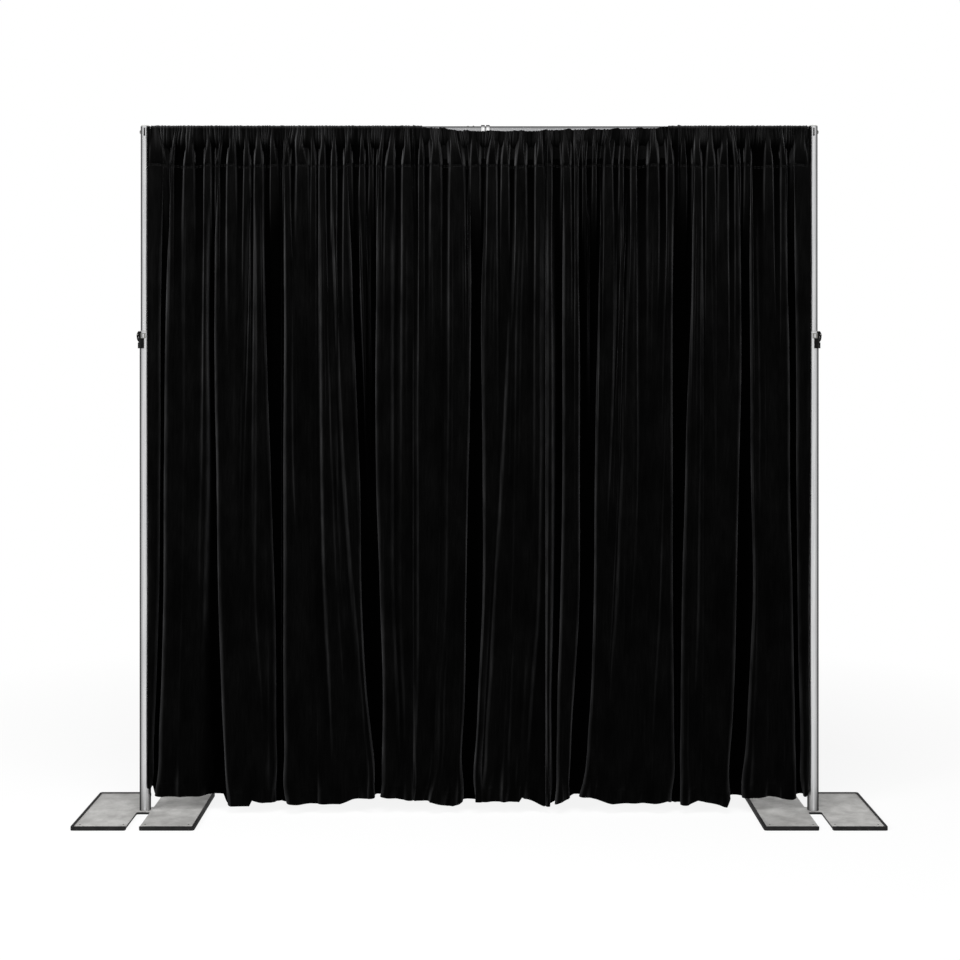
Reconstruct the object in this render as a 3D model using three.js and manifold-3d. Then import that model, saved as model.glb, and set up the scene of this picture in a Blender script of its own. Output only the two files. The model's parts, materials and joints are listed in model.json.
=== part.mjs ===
// Free-standing pipe and drape backdrop: two weighted bases with telescoping uprights, a crossbar in two
// halves hooked between them, and five gathered widths of velvet on the crossbar.
// Millimetres, +X to the right, the viewer at -Y, +Z up, origin on the floor midway between the uprights.

import * as THREE from 'three';
import { mergeVertices } from 'three/addons/utils/BufferGeometryUtils.js';
import Module from 'manifold-3d';

const wasm = await Module();
wasm.setup();

// Driving dimensions
const uprightSpacing = 3048;
const fitGap = 0.3;
const cutOverrun = 4;

// Base plate, its rubber edge and pin
const baseWidth = 545;
const baseDepth = 545;
const plateThickness = 10;
const trimWall = 3.5;
const trimLip = 12;
const plateCornerRadius = 10;
const notchWidth = 60;
const notchCornerRadius = 9;
const webDepth = 82;
const pinHeight = 152;
const pinRunningGap = 0.5;
const pinChamfer = 6;
const pinBoltRadius = 6;
const pinBoltHeadRadius = 12;
const pinBoltRecess = 0.6;
const pinBoltGrip = 54;
const pinBoltClearance = 0.3;

// Upright tubes
const lowerTubeDiameter = 50.8;
const lowerTubeWall = 2;
const lowerTubeTop = 2196.5;
const upperTubeDiameter = 41.3;
const upperTubeWall = 1.8;
const upperTubeTop = 3131;
const tubeOverlap = 811.5;
const bushFlange = 2.2;
const bushDepth = 32;
const guideLength = 34;
const guideSleeve = 26;
const guideRunningGap = 0.4;
const bushRunningGap = 0.4;

// Head of the upright
const capDome = 6;
const capRimShare = 0.33;
const capCrownShares = [{ reachShare: 0.86, riseShare: 0.8 }, { reachShare: 0.5, riseShare: 1 }];
const capPlug = 5;
const capPlugWall = 2.5;
const slotWidth = 6.4;
const slotDrop = 6;
const slotLength = 38.5;

// Height lock, with its drops measured from the mouth of the lower tube
const lockPinDrop = 13.5;
const lockPinReach = 32.7;
const lockPinRadius = 2.1;
const lockPinHead = 3.4;
const lockPinHeadThickness = 1.2;
const lockPinClearance = 0.3;
const camRadius = 4.6;
const camThrow = 1.4;
const leverWidth = 20;
const leverThickness = 4;
const leverHubRadius = 5;
const leverCentreReach = 24;
const leverCentreDrop = 23.5;
const leverBulge = 13.4;
const leverRise = 26;
const leverTopDegrees = 28;
const leverFootDegrees = -80;
const cheekFootDegrees = 4;
const cheekTopDegrees = 76;
const cheekThickness = 3;
const cheekGap = 0.5;
const bracketThickness = 1.5;
const bracketDrop = 7.5;
const bracketHeight = 24;
const bracketHalfDegrees = 105;
const bracketSlotHeight = 17;
const bracketSlotWidth = 9;
const bracketSlotReach = 5.5;
const lockBodyThickness = 3;
const lockBodyDrop = 2.5;
const lockBodyHeight = 74.5;
const skirtHalfDegrees = 88;
const collarHalfDegrees = 48;
const lockLobeDrop = 50.5;
const lockLobeReach = 32.4;
const lockLobeWidth = 28;
const lockLobeRadius = 5;
const shoeWidth = 17;
const shoeHeight = 16;
const shoeWindowGap = 1;
const rivetRadius = 2.2;
const rivetHeadRadius = 4;
const rivetHeadHeight = 1.6;
const rivetTail = 1.2;
const rivetDrop = 62.5;
const rivetBearings = [-55, 55];

// Crossbar, its hooks and its centre joint
const barDiameter = 38.1;
const barWall = 2;
const barAxisDrop = 17;
const barEndGap = 3;
const barJointX = 28.7;
const collarDiameter = 49;
const collarLength = 17.2;
const collarBevel = 2;
const collarSpacing = 5.4;
const spigotWall = 3;
const spigotLeftReach = 124;
const spigotRightReach = 150;
const spigotRivetReach = 84;
const buttonFlange = 1.6;
const buttonFlangeThickness = 1.5;
const springThickness = 0.8;
const springWidth = 9;
const springLength = 36;
const springBend = 3;
const hookThickness = 5;
const hookTopAboveSeat = 26;
const hookLip = 6.2;
const hookLipLength = 6;
const hookNoseProud = 5.2;
const hookNoseRise = 11;
const hookNoseHeight = 18;
const hookNoseRadius = 4;
const hookTongueHeight = 22;
const hookTongueLength = 40;
const plugLength = 44;
const plugFace = 1.6;
const hookRivetRadius = 3;
const hookRivetSetback = 26;

// Snap buttons of the centre joint: distance left of the joint, radius, height proud of the bar
const buttonPlaces = [
  { name: 'left', reach: 79.7, radius: 4.6, proud: 1.8 },
  { name: 'right', reach: 54.7, radius: 3.2, proud: 3.2 },
];

// Drape
const clothThickness = 2;
const drapeEndGap = 13.5;
const drapeCentreX = -0.5;
const widthGap = 3;
const pocketDepth = 189;
const seamHeight = 4;
const hemHeight = 55;
const hemWave = 22;
const hemOverBase = 84;
const hemAtTube = 124;
const foldDepthAtSeam = 19;
const foldDepthAtHem = 29;
const foldShift = 9;
const gatherDepthFront = 9;
const gatherDepthTop = 1.5;
const gatherDepthBack = 8;
const barClearance = 0.4;
const tubeClearance = 2.6;
const tubeLeadIn = 55;
const pocketEndClearance = 1.5;
const headerDroop = 24;
const droopAtLoopShare = 0.7;
const centreDroopRunShare = 0.25;
const sharedDroopRunShare = 0.5;
const loopWidth = 42;
const pocketEndRise = 15;

// Folds of the five widths, from left to right, and the shares of the drop where the cloth is stationed
const foldCounts = [6, 6, 6, 6, 6];
const foldPhaseShares = [0.1, 0.38, 0.6, 0.05, 0.45];
const foldDriftShare = 0.12;
const dropShares = [1, 0.55, 0.15];
const loopDegrees = [135, 90, 45, 0];
const centreWidth = 2;
const sharedWidth = 3;

// Counts
const roundSides = 24;
const smallSides = 10;
const cornerSteps = 3;
const leverSteps = 8;
const saddleSteps = 4;
const drapeColumns = 36;

// How far in the middle of a flat on a round solid lies, as a share of its radius
const flatShare = Math.cos(Math.PI / roundSides);

// Radii and heights that follow from the sizes above
const upperTubeRadius = upperTubeDiameter / 2;
const upperTubeBore = upperTubeRadius - upperTubeWall;
const lowerTubeRadius = lowerTubeDiameter / 2;
const lowerTubeBore = lowerTubeRadius - lowerTubeWall;
const barRadius = barDiameter / 2;
const barBore = barRadius - barWall;
const plateTop = trimWall + plateThickness;
const baseHeight = plateTop + trimWall;
const halfSpacing = uprightSpacing / 2;
const upperTubeBottom = lowerTubeTop - tubeOverlap;
const slotTop = upperTubeTop - slotDrop;
const slotBottom = slotTop - slotLength;
const lockPinHeight = lowerTubeTop - lockPinDrop;
const leverCentreHeight = lowerTubeTop - leverCentreDrop;
const bracketTop = lowerTubeTop - bracketDrop;
const bracketBottom = bracketTop - bracketHeight;
const lockBodyTop = lowerTubeTop - lockBodyDrop;
const lockBodyBottom = lockBodyTop - lockBodyHeight;
const lockLobeTop = lowerTubeTop - lockLobeDrop;
const rivetHeight = lowerTubeTop - rivetDrop;
const barAxisHeight = upperTubeTop - barAxisDrop;
const hookNoseBottom = slotBottom + hookNoseRise;
const hookNoseTop = hookNoseBottom + hookNoseHeight;
const drapeWidth = uprightSpacing - 2 * drapeEndGap;
const barEnd = halfSpacing - upperTubeRadius - barEndGap;
const seatRise = slotWidth / 2 - Math.sqrt((slotWidth / 2) ** 2 - (hookThickness / 2) ** 2);
const hookSeat = slotBottom + seatRise + fitGap;
const spigotRadius = barBore - fitGap;
const spigotBore = spigotRadius - spigotWall;
const bracketInside = lowerTubeRadius + fitGap;
const bracketOutside = bracketInside + bracketThickness;
const bodyInside = bracketOutside + fitGap;
const bodyOutside = bodyInside + lockBodyThickness;
const lockReach = lockPinReach + leverBulge;

// Materials
const finish = (color, roughness, metalness) => () => new THREE.MeshStandardMaterial({
  color, roughness, metalness,
});
const aluminium = finish(0xc9c9c7, 0.32, 0.9);
const baseSteel = finish(0xb7b6b5, 0.6, 0.35);
const zincSteel = finish(0x9a9a98, 0.4, 0.85);
const chromedSteel = finish(0xe4e4e2, 0.12, 1);
const blackRubber = finish(0x2f2e2d, 0.85, 0);
const blackNylon = finish(0x121212, 0.5, 0);
const blackSteel = finish(0x1c1c1c, 0.45, 0.6);
const greyNylon = finish(0x8c8c8a, 0.55, 0);
const blackVelvet = finish(0x070708, 0.95, 0);

// Solids and their joins and cuts
function solidOf(geometry) {
  const bare = geometry.index ? geometry.toNonIndexed() : geometry.clone();
  bare.deleteAttribute('normal');
  bare.deleteAttribute('uv');
  const merged = mergeVertices(bare);
  const vertProperties = new Float32Array(merged.attributes.position.array);
  const triVerts = new Uint32Array(merged.index.array);
  return new wasm.Manifold(new wasm.Mesh({ numProp: 3, vertProperties, triVerts }));
}

function geometryOf(solid) {
  const mesh = solid.getMesh();
  const geometry = new THREE.BufferGeometry();
  geometry.setAttribute('position', new THREE.Float32BufferAttribute(mesh.vertProperties, 3));
  geometry.setIndex(Array.from(mesh.triVerts));
  geometry.computeVertexNormals();
  return geometry;
}

const joined = (first, ...others) => others.reduce((whole, part) => whole.add(part), first);
const cutBy = (whole, ...tools) => tools.reduce((rest, tool) => rest.subtract(tool), whole);

// Outlines and round solids
function roundedOutline(corners) {
  const shape = new THREE.Shape();
  corners.forEach(([x, y, radius], index) => {
    const corner = new THREE.Vector2(x, y);
    const [beforeX, beforeY] = corners[(index + corners.length - 1) % corners.length];
    const [afterX, afterY] = corners[(index + 1) % corners.length];
    const start = new THREE.Vector2(beforeX, beforeY).sub(corner).setLength(radius).add(corner);
    const end = new THREE.Vector2(afterX, afterY).sub(corner).setLength(radius).add(corner);
    if (index === 0) {
      shape.moveTo(start.x, start.y);
    } else {
      shape.lineTo(start.x, start.y);
    }
    shape.quadraticCurveTo(corner.x, corner.y, end.x, end.y);
  });
  shape.closePath();
  return shape;
}

function slab(shape, bottom, top) {
  const geometry = new THREE.ExtrudeGeometry(shape, {
    depth: top - bottom, bevelEnabled: false, curveSegments: cornerSteps,
  });
  geometry.translate(0, 0, bottom);
  return solidOf(geometry);
}

function block(low, high) {
  const size = high.map((value, axis) => value - low[axis]);
  const geometry = new THREE.BoxGeometry(...size);
  geometry.translate(...high.map((value, axis) => (value + low[axis]) / 2));
  return solidOf(geometry);
}

// A turned solid about Z from [radius, height] points; a ring repeats its first point
function turned(points, sides = roundSides) {
  const profile = points.map(([radius, height]) => new THREE.Vector2(radius, height));
  const geometry = new THREE.LatheGeometry(profile, sides);
  geometry.rotateX(Math.PI / 2);
  return solidOf(geometry);
}

const ring = (outer, inner, bottom, top, sides = roundSides) => turned(
  [[inner, bottom], [outer, bottom], [outer, top], [inner, top], [inner, bottom]], sides);

const rod = (radius, bottom, top, sides = roundSides) => turned(
  [[0, bottom], [radius, bottom], [radius, top], [0, top]], sides);

// A profile in the XZ plane, given a width along Y
function sideProfile(shape, width) {
  const geometry = new THREE.ExtrudeGeometry(shape, {
    depth: width, bevelEnabled: false, curveSegments: cornerSteps,
  });
  geometry.translate(0, 0, -width / 2);
  geometry.rotateX(Math.PI / 2);
  return solidOf(geometry);
}

const alongX = (solid) => solid.rotate([0, 90, 0]);
const alongY = (solid) => solid.rotate([-90, 0, 0]);

// A rivet whose axis runs outwards through the tube's wall and the lock's body, at a bearing round the tube
function lockRivet(bearing) {
  const tailFoot = Math.sqrt(lowerTubeBore ** 2 - rivetHeadRadius ** 2) - rivetTail - fitGap;
  const headFoot = bodyOutside + fitGap;
  const rivet = turned([
    [0, tailFoot], [rivetHeadRadius, tailFoot], [rivetHeadRadius, tailFoot + rivetTail],
    [rivetRadius, tailFoot + rivetTail], [rivetRadius, headFoot], [rivetHeadRadius, headFoot],
    [rivetHeadRadius * Math.SQRT1_2, headFoot + rivetHeadHeight], [0, headFoot + rivetHeadHeight],
  ], smallSides);
  return alongX(rivet).rotate([0, 0, bearing]).translate([0, 0, rivetHeight]);
}

const rivetHole = (bearing) => alongX(
  rod(rivetRadius + fitGap, 0, lockLobeReach + cutOverrun, smallSides))
  .rotate([0, 0, bearing]).translate([0, 0, rivetHeight]);

// Base of one upright, about the upright's own axis
const halfNotch = notchWidth / 2;
const halfWeb = webDepth / 2;

function plateSolid(grow, bottom, top) {
  const sideX = baseWidth / 2 - trimWall + grow;
  const sideY = baseDepth / 2 - trimWall + grow;
  return slab(roundedOutline([
    [-sideX, -sideY, plateCornerRadius],
    [-halfNotch, -sideY, notchCornerRadius],
    [-halfNotch, -halfWeb, notchCornerRadius],
    [halfNotch, -halfWeb, notchCornerRadius],
    [halfNotch, -sideY, notchCornerRadius],
    [sideX, -sideY, plateCornerRadius],
    [sideX, sideY, plateCornerRadius],
    [halfNotch, sideY, notchCornerRadius],
    [halfNotch, halfWeb, notchCornerRadius],
    [-halfNotch, halfWeb, notchCornerRadius],
    [-halfNotch, sideY, notchCornerRadius],
    [-sideX, sideY, plateCornerRadius],
  ]), bottom, top);
}

function basePlate() {
  const boltHole = turned([
    [0, trimWall - cutOverrun], [pinBoltHeadRadius + pinBoltClearance, trimWall - cutOverrun],
    [pinBoltHeadRadius + pinBoltClearance, trimWall + pinBoltRecess],
    [pinBoltRadius + pinBoltClearance, trimWall + pinBoltRecess + pinBoltHeadRadius - pinBoltRadius],
    [pinBoltRadius + pinBoltClearance, plateTop + cutOverrun], [0, plateTop + cutOverrun],
  ]);
  return cutBy(plateSolid(0, trimWall, plateTop), boltHole);
}

// One rubber edge strip goes round three sides of the half plate at positive or negative X
function edgeTrim(side) {
  const sideX = baseWidth / 2;
  const sideY = baseDepth / 2;
  const corner = plateCornerRadius + trimWall;
  const strip = slab(roundedOutline([
    [halfNotch, -sideY, notchCornerRadius],
    [sideX, -sideY, corner],
    [sideX, sideY, corner],
    [halfNotch, sideY, notchCornerRadius],
  ]), 0, baseHeight);
  const opening = block(
    [0, trimLip - sideY, -cutOverrun], [sideX - trimLip, sideY - trimLip, baseHeight + cutOverrun]);
  const seat = plateSolid(fitGap, trimWall - fitGap, plateTop + fitGap);
  const lips = cutBy(strip, opening, seat);
  return side > 0 ? lips : lips.rotate([0, 0, 180]);
}

function basePin() {
  const radius = lowerTubeBore - pinRunningGap;
  const bottom = plateTop + fitGap;
  const top = bottom + pinHeight;
  const boreRadius = pinBoltRadius + pinBoltClearance;
  const bore = rod(boreRadius, bottom - cutOverrun, bottom + pinBoltGrip + cutOverrun, smallSides);
  const pin = turned([
    [0, bottom], [radius, bottom], [radius, top - pinChamfer], [radius - pinChamfer, top], [0, top],
  ]);
  return cutBy(pin, bore);
}

function pinBolt() {
  const headFoot = trimWall + pinBoltRecess - pinBoltClearance;
  const headTop = headFoot + pinBoltHeadRadius - pinBoltRadius;
  const top = plateTop + pinBoltGrip;
  return turned([
    [0, headFoot], [pinBoltHeadRadius, headFoot], [pinBoltRadius, headTop], [pinBoltRadius, top], [0, top],
  ], smallSides);
}

// Upright, with +X pointing outwards from the backdrop
const shoeWindow = (reach) => block(
  [0, -shoeWidth / 2 - shoeWindowGap, lockPinHeight - shoeHeight / 2 - shoeWindowGap],
  [reach, shoeWidth / 2 + shoeWindowGap, lockPinHeight + shoeHeight / 2 + shoeWindowGap]);

const rivetHoles = () => joined(...rivetBearings.map(rivetHole));

function lowerTube() {
  const tube = ring(lowerTubeRadius, lowerTubeBore, plateTop + fitGap, lowerTubeTop);
  return cutBy(tube, shoeWindow(lowerTubeRadius + cutOverrun), rivetHoles());
}

function tubeBush() {
  const bore = upperTubeRadius + bushRunningGap;
  const seat = lowerTubeTop + fitGap;
  const bush = turned([
    [bore, lowerTubeTop - bushDepth], [lowerTubeBore - fitGap, lowerTubeTop - bushDepth],
    [lowerTubeBore - fitGap, seat], [lowerTubeRadius, seat], [lowerTubeRadius, seat + bushFlange],
    [bore, seat + bushFlange], [bore, lowerTubeTop - bushDepth],
  ]);
  return cutBy(bush, shoeWindow(lowerTubeRadius + cutOverrun));
}

function upperTube() {
  const tube = ring(upperTubeRadius, upperTubeBore, upperTubeBottom, upperTubeTop);
  const halfSlot = slotWidth / 2;
  const across = upperTubeRadius + cutOverrun;
  const slotEnd = (height) => alongX(rod(halfSlot, -across, across, smallSides)).translate([0, 0, height]);
  const slotX = joined(
    block([-across, -halfSlot, slotBottom + halfSlot], [across, halfSlot, slotTop - halfSlot]),
    slotEnd(slotBottom + halfSlot), slotEnd(slotTop - halfSlot));
  return cutBy(tube, slotX, slotX.rotate([0, 0, 90]));
}

// Plug and sliding sleeve at the foot of the upper tube
function mastGuide() {
  const outer = lowerTubeBore - guideRunningGap;
  const sleeveTop = upperTubeBottom - fitGap;
  return turned([
    [0, sleeveTop - guideSleeve], [outer, sleeveTop - guideSleeve], [outer, sleeveTop],
    [upperTubeBore - fitGap, sleeveTop], [upperTubeBore - fitGap, sleeveTop + guideLength],
    [0, sleeveTop + guideLength],
  ]);
}

function headCap() {
  const seat = upperTubeTop + fitGap;
  const plugOuter = upperTubeBore - fitGap;
  const crown = capCrownShares.map(({ reachShare, riseShare }) => [
    upperTubeRadius * reachShare, seat + capDome * riseShare,
  ]);
  return turned([
    [0, seat], [plugOuter - capPlugWall, seat], [plugOuter - capPlugWall, seat - capPlug],
    [plugOuter, seat - capPlug], [plugOuter, seat], [upperTubeRadius, seat],
    [upperTubeRadius, seat + capDome * capRimShare], ...crown, [0, seat + capDome],
  ]);
}

// Height lock on the outside of the upright
// The part of a ring whose bearing lies within a number of degrees of +X
function saddle(outer, inner, bottom, top, halfDegrees) {
  const reach = outer * 2;
  const wedge = new THREE.Shape();
  wedge.moveTo(0, 0);
  for (let step = 0; step <= saddleSteps; step += 1) {
    const degrees = THREE.MathUtils.lerp(-halfDegrees, halfDegrees, step / saddleSteps);
    const bearing = THREE.MathUtils.degToRad(degrees);
    wedge.lineTo(reach * Math.cos(bearing), reach * Math.sin(bearing));
  }
  wedge.closePath();
  return ring(outer, inner, bottom, top).intersect(slab(wedge, bottom - cutOverrun, top + cutOverrun));
}

function lockBracket() {
  const band = saddle(bracketOutside, bracketInside, bracketBottom, bracketTop, bracketHalfDegrees);
  const middle = (bracketBottom + bracketTop) / 2;
  const stripe = block(
    [bracketSlotReach - bracketSlotWidth / 2, -bracketOutside - cutOverrun, middle - bracketSlotHeight / 2],
    [bracketSlotReach + bracketSlotWidth / 2, bracketOutside + cutOverrun, middle + bracketSlotHeight / 2]);
  return cutBy(band, stripe, shoeWindow(lockReach));
}

function leverPoint(turn, inset) {
  return [
    leverCentreReach + (leverBulge - inset) * Math.cos(turn),
    leverCentreHeight + (leverRise - inset) * Math.sin(turn),
  ];
}

function leverArc(fromDegrees, toDegrees, inset) {
  return Array.from({ length: leverSteps + 1 }, (unused, step) => leverPoint(
    THREE.MathUtils.degToRad(THREE.MathUtils.lerp(fromDegrees, toDegrees, step / leverSteps)), inset));
}

const polygon = (points) => new THREE.Shape(points.map(([x, y]) => new THREE.Vector2(x, y)));

function lockBody() {
  const skirtTop = bracketBottom - fitGap;
  const skirt = saddle(bodyOutside, bracketInside, lockBodyBottom, skirtTop, skirtHalfDegrees);
  const collar = saddle(bodyOutside, bracketInside, skirtTop - cutOverrun, lockBodyTop, collarHalfDegrees);
  const lobe = slab(roundedOutline([
    [0, -lockLobeWidth / 2, lockLobeRadius], [lockLobeReach, -lockLobeWidth / 2, lockLobeRadius],
    [lockLobeReach, lockLobeWidth / 2, lockLobeRadius], [0, lockLobeWidth / 2, lockLobeRadius],
  ]), lockBodyBottom, lockLobeTop);
  const cheekArc = leverArc(cheekFootDegrees, cheekTopDegrees, 0);
  const cheekOutline = polygon([
    [lowerTubeRadius, lockPinHeight - leverHubRadius - cheekThickness], ...cheekArc,
    [lowerTubeRadius, cheekArc.at(-1)[1]],
  ]);
  const cheek = sideProfile(cheekOutline, cheekThickness);
  const cheekPlace = leverWidth / 2 + cheekGap + cheekThickness / 2;
  const bore = rod(bracketInside, lockBodyBottom - cutOverrun, lockBodyTop + leverRise);
  const bracketRoom = rod(bodyInside, bracketBottom - fitGap, bracketTop + fitGap);
  const halfWell = leverWidth / 2 + cheekGap;
  const well = block([0, -halfWell, lockLobeTop], [lockReach, halfWell, lockBodyTop + leverRise]);
  const pinHole = alongY(rod(lockPinRadius + lockPinClearance, -lockLobeWidth, lockLobeWidth, smallSides))
    .translate([lockPinReach, 0, lockPinHeight]);
  const whole = joined(
    skirt, collar, lobe, cheek.translate([0, cheekPlace, 0]), cheek.translate([0, -cheekPlace, 0]));
  return cutBy(whole, bore, bracketRoom, well, pinHole, rivetHoles());
}

function lockLever() {
  const outside = leverArc(leverFootDegrees, leverTopDegrees, 0);
  const inside = leverArc(leverTopDegrees, leverFootDegrees, leverThickness);
  const grip = sideProfile(polygon([...outside, ...inside]), leverWidth);
  const hub = alongY(rod(leverHubRadius, -leverWidth / 2, leverWidth / 2, smallSides * 2))
    .translate([lockPinReach, 0, lockPinHeight]);
  const cam = alongY(rod(camRadius, -shoeWidth / 2, shoeWidth / 2, smallSides * 2))
    .translate([lockPinReach - camThrow, 0, lockPinHeight]);
  const hole = alongY(rod(lockPinRadius + lockPinClearance, -leverWidth, leverWidth, smallSides))
    .translate([lockPinReach, 0, lockPinHeight]);
  return cutBy(joined(grip, hub, cam), hole);
}

function leverPin() {
  const headFoot = leverWidth / 2 + cheekGap + cheekThickness + fitGap;
  const headTop = headFoot + lockPinHeadThickness;
  return alongY(turned([
    [0, -headTop], [lockPinHead, -headTop], [lockPinHead, -headFoot], [lockPinRadius, -headFoot],
    [lockPinRadius, headFoot], [lockPinHead, headFoot], [lockPinHead, headTop], [0, headTop],
  ], smallSides)).translate([lockPinReach, 0, lockPinHeight]);
}

function brakeShoe() {
  const camFace = lockPinReach - Math.max(camRadius + camThrow, leverHubRadius) - fitGap;
  const pad = block(
    [0, -shoeWidth / 2, lockPinHeight - shoeHeight / 2],
    [camFace, shoeWidth / 2, lockPinHeight + shoeHeight / 2]);
  return cutBy(pad, rod(upperTubeRadius + fitGap, lockPinHeight - shoeHeight, lockPinHeight + shoeHeight));
}

// End of the crossbar, with +X pointing outwards through the upright
const plugShoulder = -upperTubeRadius - barEndGap - fitGap;

function hook() {
  const top = hookSeat + hookTopAboveSeat;
  const tongueTop = barAxisHeight + hookTongueHeight / 2;
  const tongueBottom = barAxisHeight - hookTongueHeight / 2;
  const tongueEnd = plugShoulder - hookTongueLength;
  const nose = upperTubeRadius + hookNoseProud;
  const lipNear = fitGap - upperTubeBore * flatShare;
  const lipFar = lipNear + hookLipLength;
  const profile = polygon([
    [tongueEnd, tongueBottom], [plugShoulder, tongueBottom], [plugShoulder, hookSeat], [lipNear, hookSeat],
    [lipNear, hookSeat - hookLip], [lipFar, hookSeat - hookLip], [lipFar + hookLip, hookNoseBottom],
    [nose - hookNoseRadius, hookNoseBottom], [nose, hookNoseBottom + hookNoseRadius],
    [nose, hookNoseTop - hookNoseRadius], [nose - hookNoseRadius, hookNoseTop], [0, top],
    [plugShoulder, top], [plugShoulder, tongueTop], [tongueEnd, tongueTop],
  ]);
  const hole = alongY(rod(hookRivetRadius + fitGap, -barRadius, barRadius, smallSides))
    .translate([plugShoulder - hookRivetSetback, 0, barAxisHeight]);
  return cutBy(sideProfile(profile, hookThickness), hole);
}

function barPlug() {
  const insideEnd = plugShoulder - plugLength;
  const halfSlot = hookThickness / 2 + fitGap;
  const halfTongue = hookTongueHeight / 2 + fitGap;
  const plug = alongX(turned([
    [0, insideEnd], [barBore - fitGap, insideEnd], [barBore - fitGap, plugShoulder],
    [barRadius, plugShoulder], [barRadius, plugShoulder + plugFace], [0, plugShoulder + plugFace],
  ])).translate([0, 0, barAxisHeight]);
  const tongueSlot = block(
    [insideEnd - cutOverrun, -halfSlot, barAxisHeight - halfTongue],
    [plugShoulder, halfSlot, barAxisHeight + halfTongue]);
  const shankSlot = block(
    [plugShoulder - fitGap, -halfSlot, hookSeat - fitGap],
    [0, halfSlot, barAxisHeight + barRadius + cutOverrun]);
  const hole = alongY(rod(hookRivetRadius + fitGap, -barRadius, barRadius, smallSides))
    .translate([plugShoulder - hookRivetSetback, 0, barAxisHeight]);
  return cutBy(plug, tongueSlot, shankSlot, hole);
}

// Rivets through the bar are ground flush, so that the cloth slides over them
function flushRivet(x) {
  const reach = Math.sqrt(barRadius ** 2 - hookRivetRadius ** 2);
  return alongY(rod(hookRivetRadius, -reach, reach, smallSides)).translate([x, 0, barAxisHeight]);
}

// Crossbar halves, from left to right in the backdrop's own frame
const onBarAxis = (solid) => solid.translate([0, 0, barAxisHeight]);
const barTube = (left, right) => onBarAxis(alongX(ring(barRadius, barBore, left, right)));
const rivetSetX = barEnd - fitGap - hookRivetSetback;
const rivetHoleReach = barRadius + cutOverrun;
const rivetHoleAt = (x) => onBarAxis(alongY(
  rod(hookRivetRadius + fitGap, -rivetHoleReach, rivetHoleReach, smallSides))).translate([x, 0, 0]);

const buttonHoles = () => joined(...buttonPlaces.map(({ reach, radius }) => rod(
  radius + fitGap, barAxisHeight, barAxisHeight + barRadius + cutOverrun, smallSides)
  .translate([barJointX - reach, 0, 0])));

function barLeft() {
  const bar = barTube(plugFace - barEnd, barJointX - fitGap / 2);
  return cutBy(bar, rivetHoleAt(-rivetSetX), buttonHoles());
}

function barRight() {
  const bar = barTube(barJointX + fitGap / 2, barEnd - plugFace);
  return cutBy(bar, rivetHoleAt(rivetSetX), rivetHoleAt(barJointX + spigotRivetReach));
}

function barCollar(left) {
  const outer = collarDiameter / 2;
  const inner = barRadius + fitGap;
  const right = left + collarLength;
  return onBarAxis(alongX(turned([
    [inner, left], [outer - collarBevel, left], [outer, left + collarBevel], [outer, right - collarBevel],
    [outer - collarBevel, right], [inner, right], [inner, left],
  ])));
}

function jointSpigot() {
  const tube = ring(spigotRadius, spigotBore, barJointX - spigotLeftReach, barJointX + spigotRightReach);
  return cutBy(onBarAxis(alongX(tube)), buttonHoles(), rivetHoleAt(barJointX + spigotRivetReach));
}

function snapButton({ reach, radius, proud }) {
  const flangeTop = Math.sqrt(spigotBore ** 2 - (radius + buttonFlange) ** 2) - fitGap;
  return turned([
    [0, flangeTop - buttonFlangeThickness], [radius + buttonFlange, flangeTop - buttonFlangeThickness],
    [radius + buttonFlange, flangeTop], [radius, flangeTop], [radius, barRadius + proud / 2],
    [radius / 2, barRadius + proud], [0, barRadius + proud],
  ], smallSides).translate([barJointX - reach, 0, barAxisHeight]);
}

// V spring lying in the spigot, its upper leg under the button
function buttonSpring({ reach, radius }, direction) {
  const flangeTop = Math.sqrt(spigotBore ** 2 - (radius + buttonFlange) ** 2) - fitGap;
  const top = flangeTop - buttonFlangeThickness - fitGap;
  const bottom = fitGap - Math.sqrt(spigotBore ** 2 - (springWidth / 2) ** 2);
  const tip = barJointX - reach - direction * radius;
  const bend = tip + direction * springLength;
  const outline = [
    [tip, bottom], [bend, bottom], [bend + direction * springBend, bottom + springBend], [tip, top],
    [tip, top - springThickness * 2], [bend, bottom + springBend],
    [bend - direction * springBend, bottom + springThickness], [tip, bottom + springThickness],
  ];
  return sideProfile(polygon(outline), springWidth).translate([0, 0, barAxisHeight]);
}

// Drape: each width is one folded sheet whose top goes over the bar and comes down behind it to a seam
const loopStations = loopDegrees.map((degrees) => THREE.MathUtils.degToRad(degrees));
const halfLoopStep = (loopStations[0] - loopStations[1]) / 2;
const loopRadius = (barRadius + barClearance) / Math.cos(halfLoopStep) + clothThickness / 2;
const drapeLeft = drapeCentreX - drapeWidth / 2;
const widthOfPanel = drapeWidth / foldCounts.length;
const seamLevel = barAxisHeight + loopRadius - pocketDepth;
const hemEdge = baseWidth / 2;

// Height of the hem along the backdrop: higher over the bases, and most beside the uprights
function hemLevel(x) {
  const inward = halfSpacing - Math.abs(x);
  const free = hemHeight + hemWave * Math.sin(x / hemWave / Math.PI);
  const overBase = THREE.MathUtils.smoothstep(hemEdge + tubeLeadIn - inward, -tubeLeadIn, tubeLeadIn);
  const atTube = THREE.MathUtils.smoothstep(tubeLeadIn - inward, -tubeLeadIn / 2, 0);
  return THREE.MathUtils.lerp(THREE.MathUtils.lerp(free, hemOverBase, overBase), hemAtTube, atTube);
}

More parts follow.
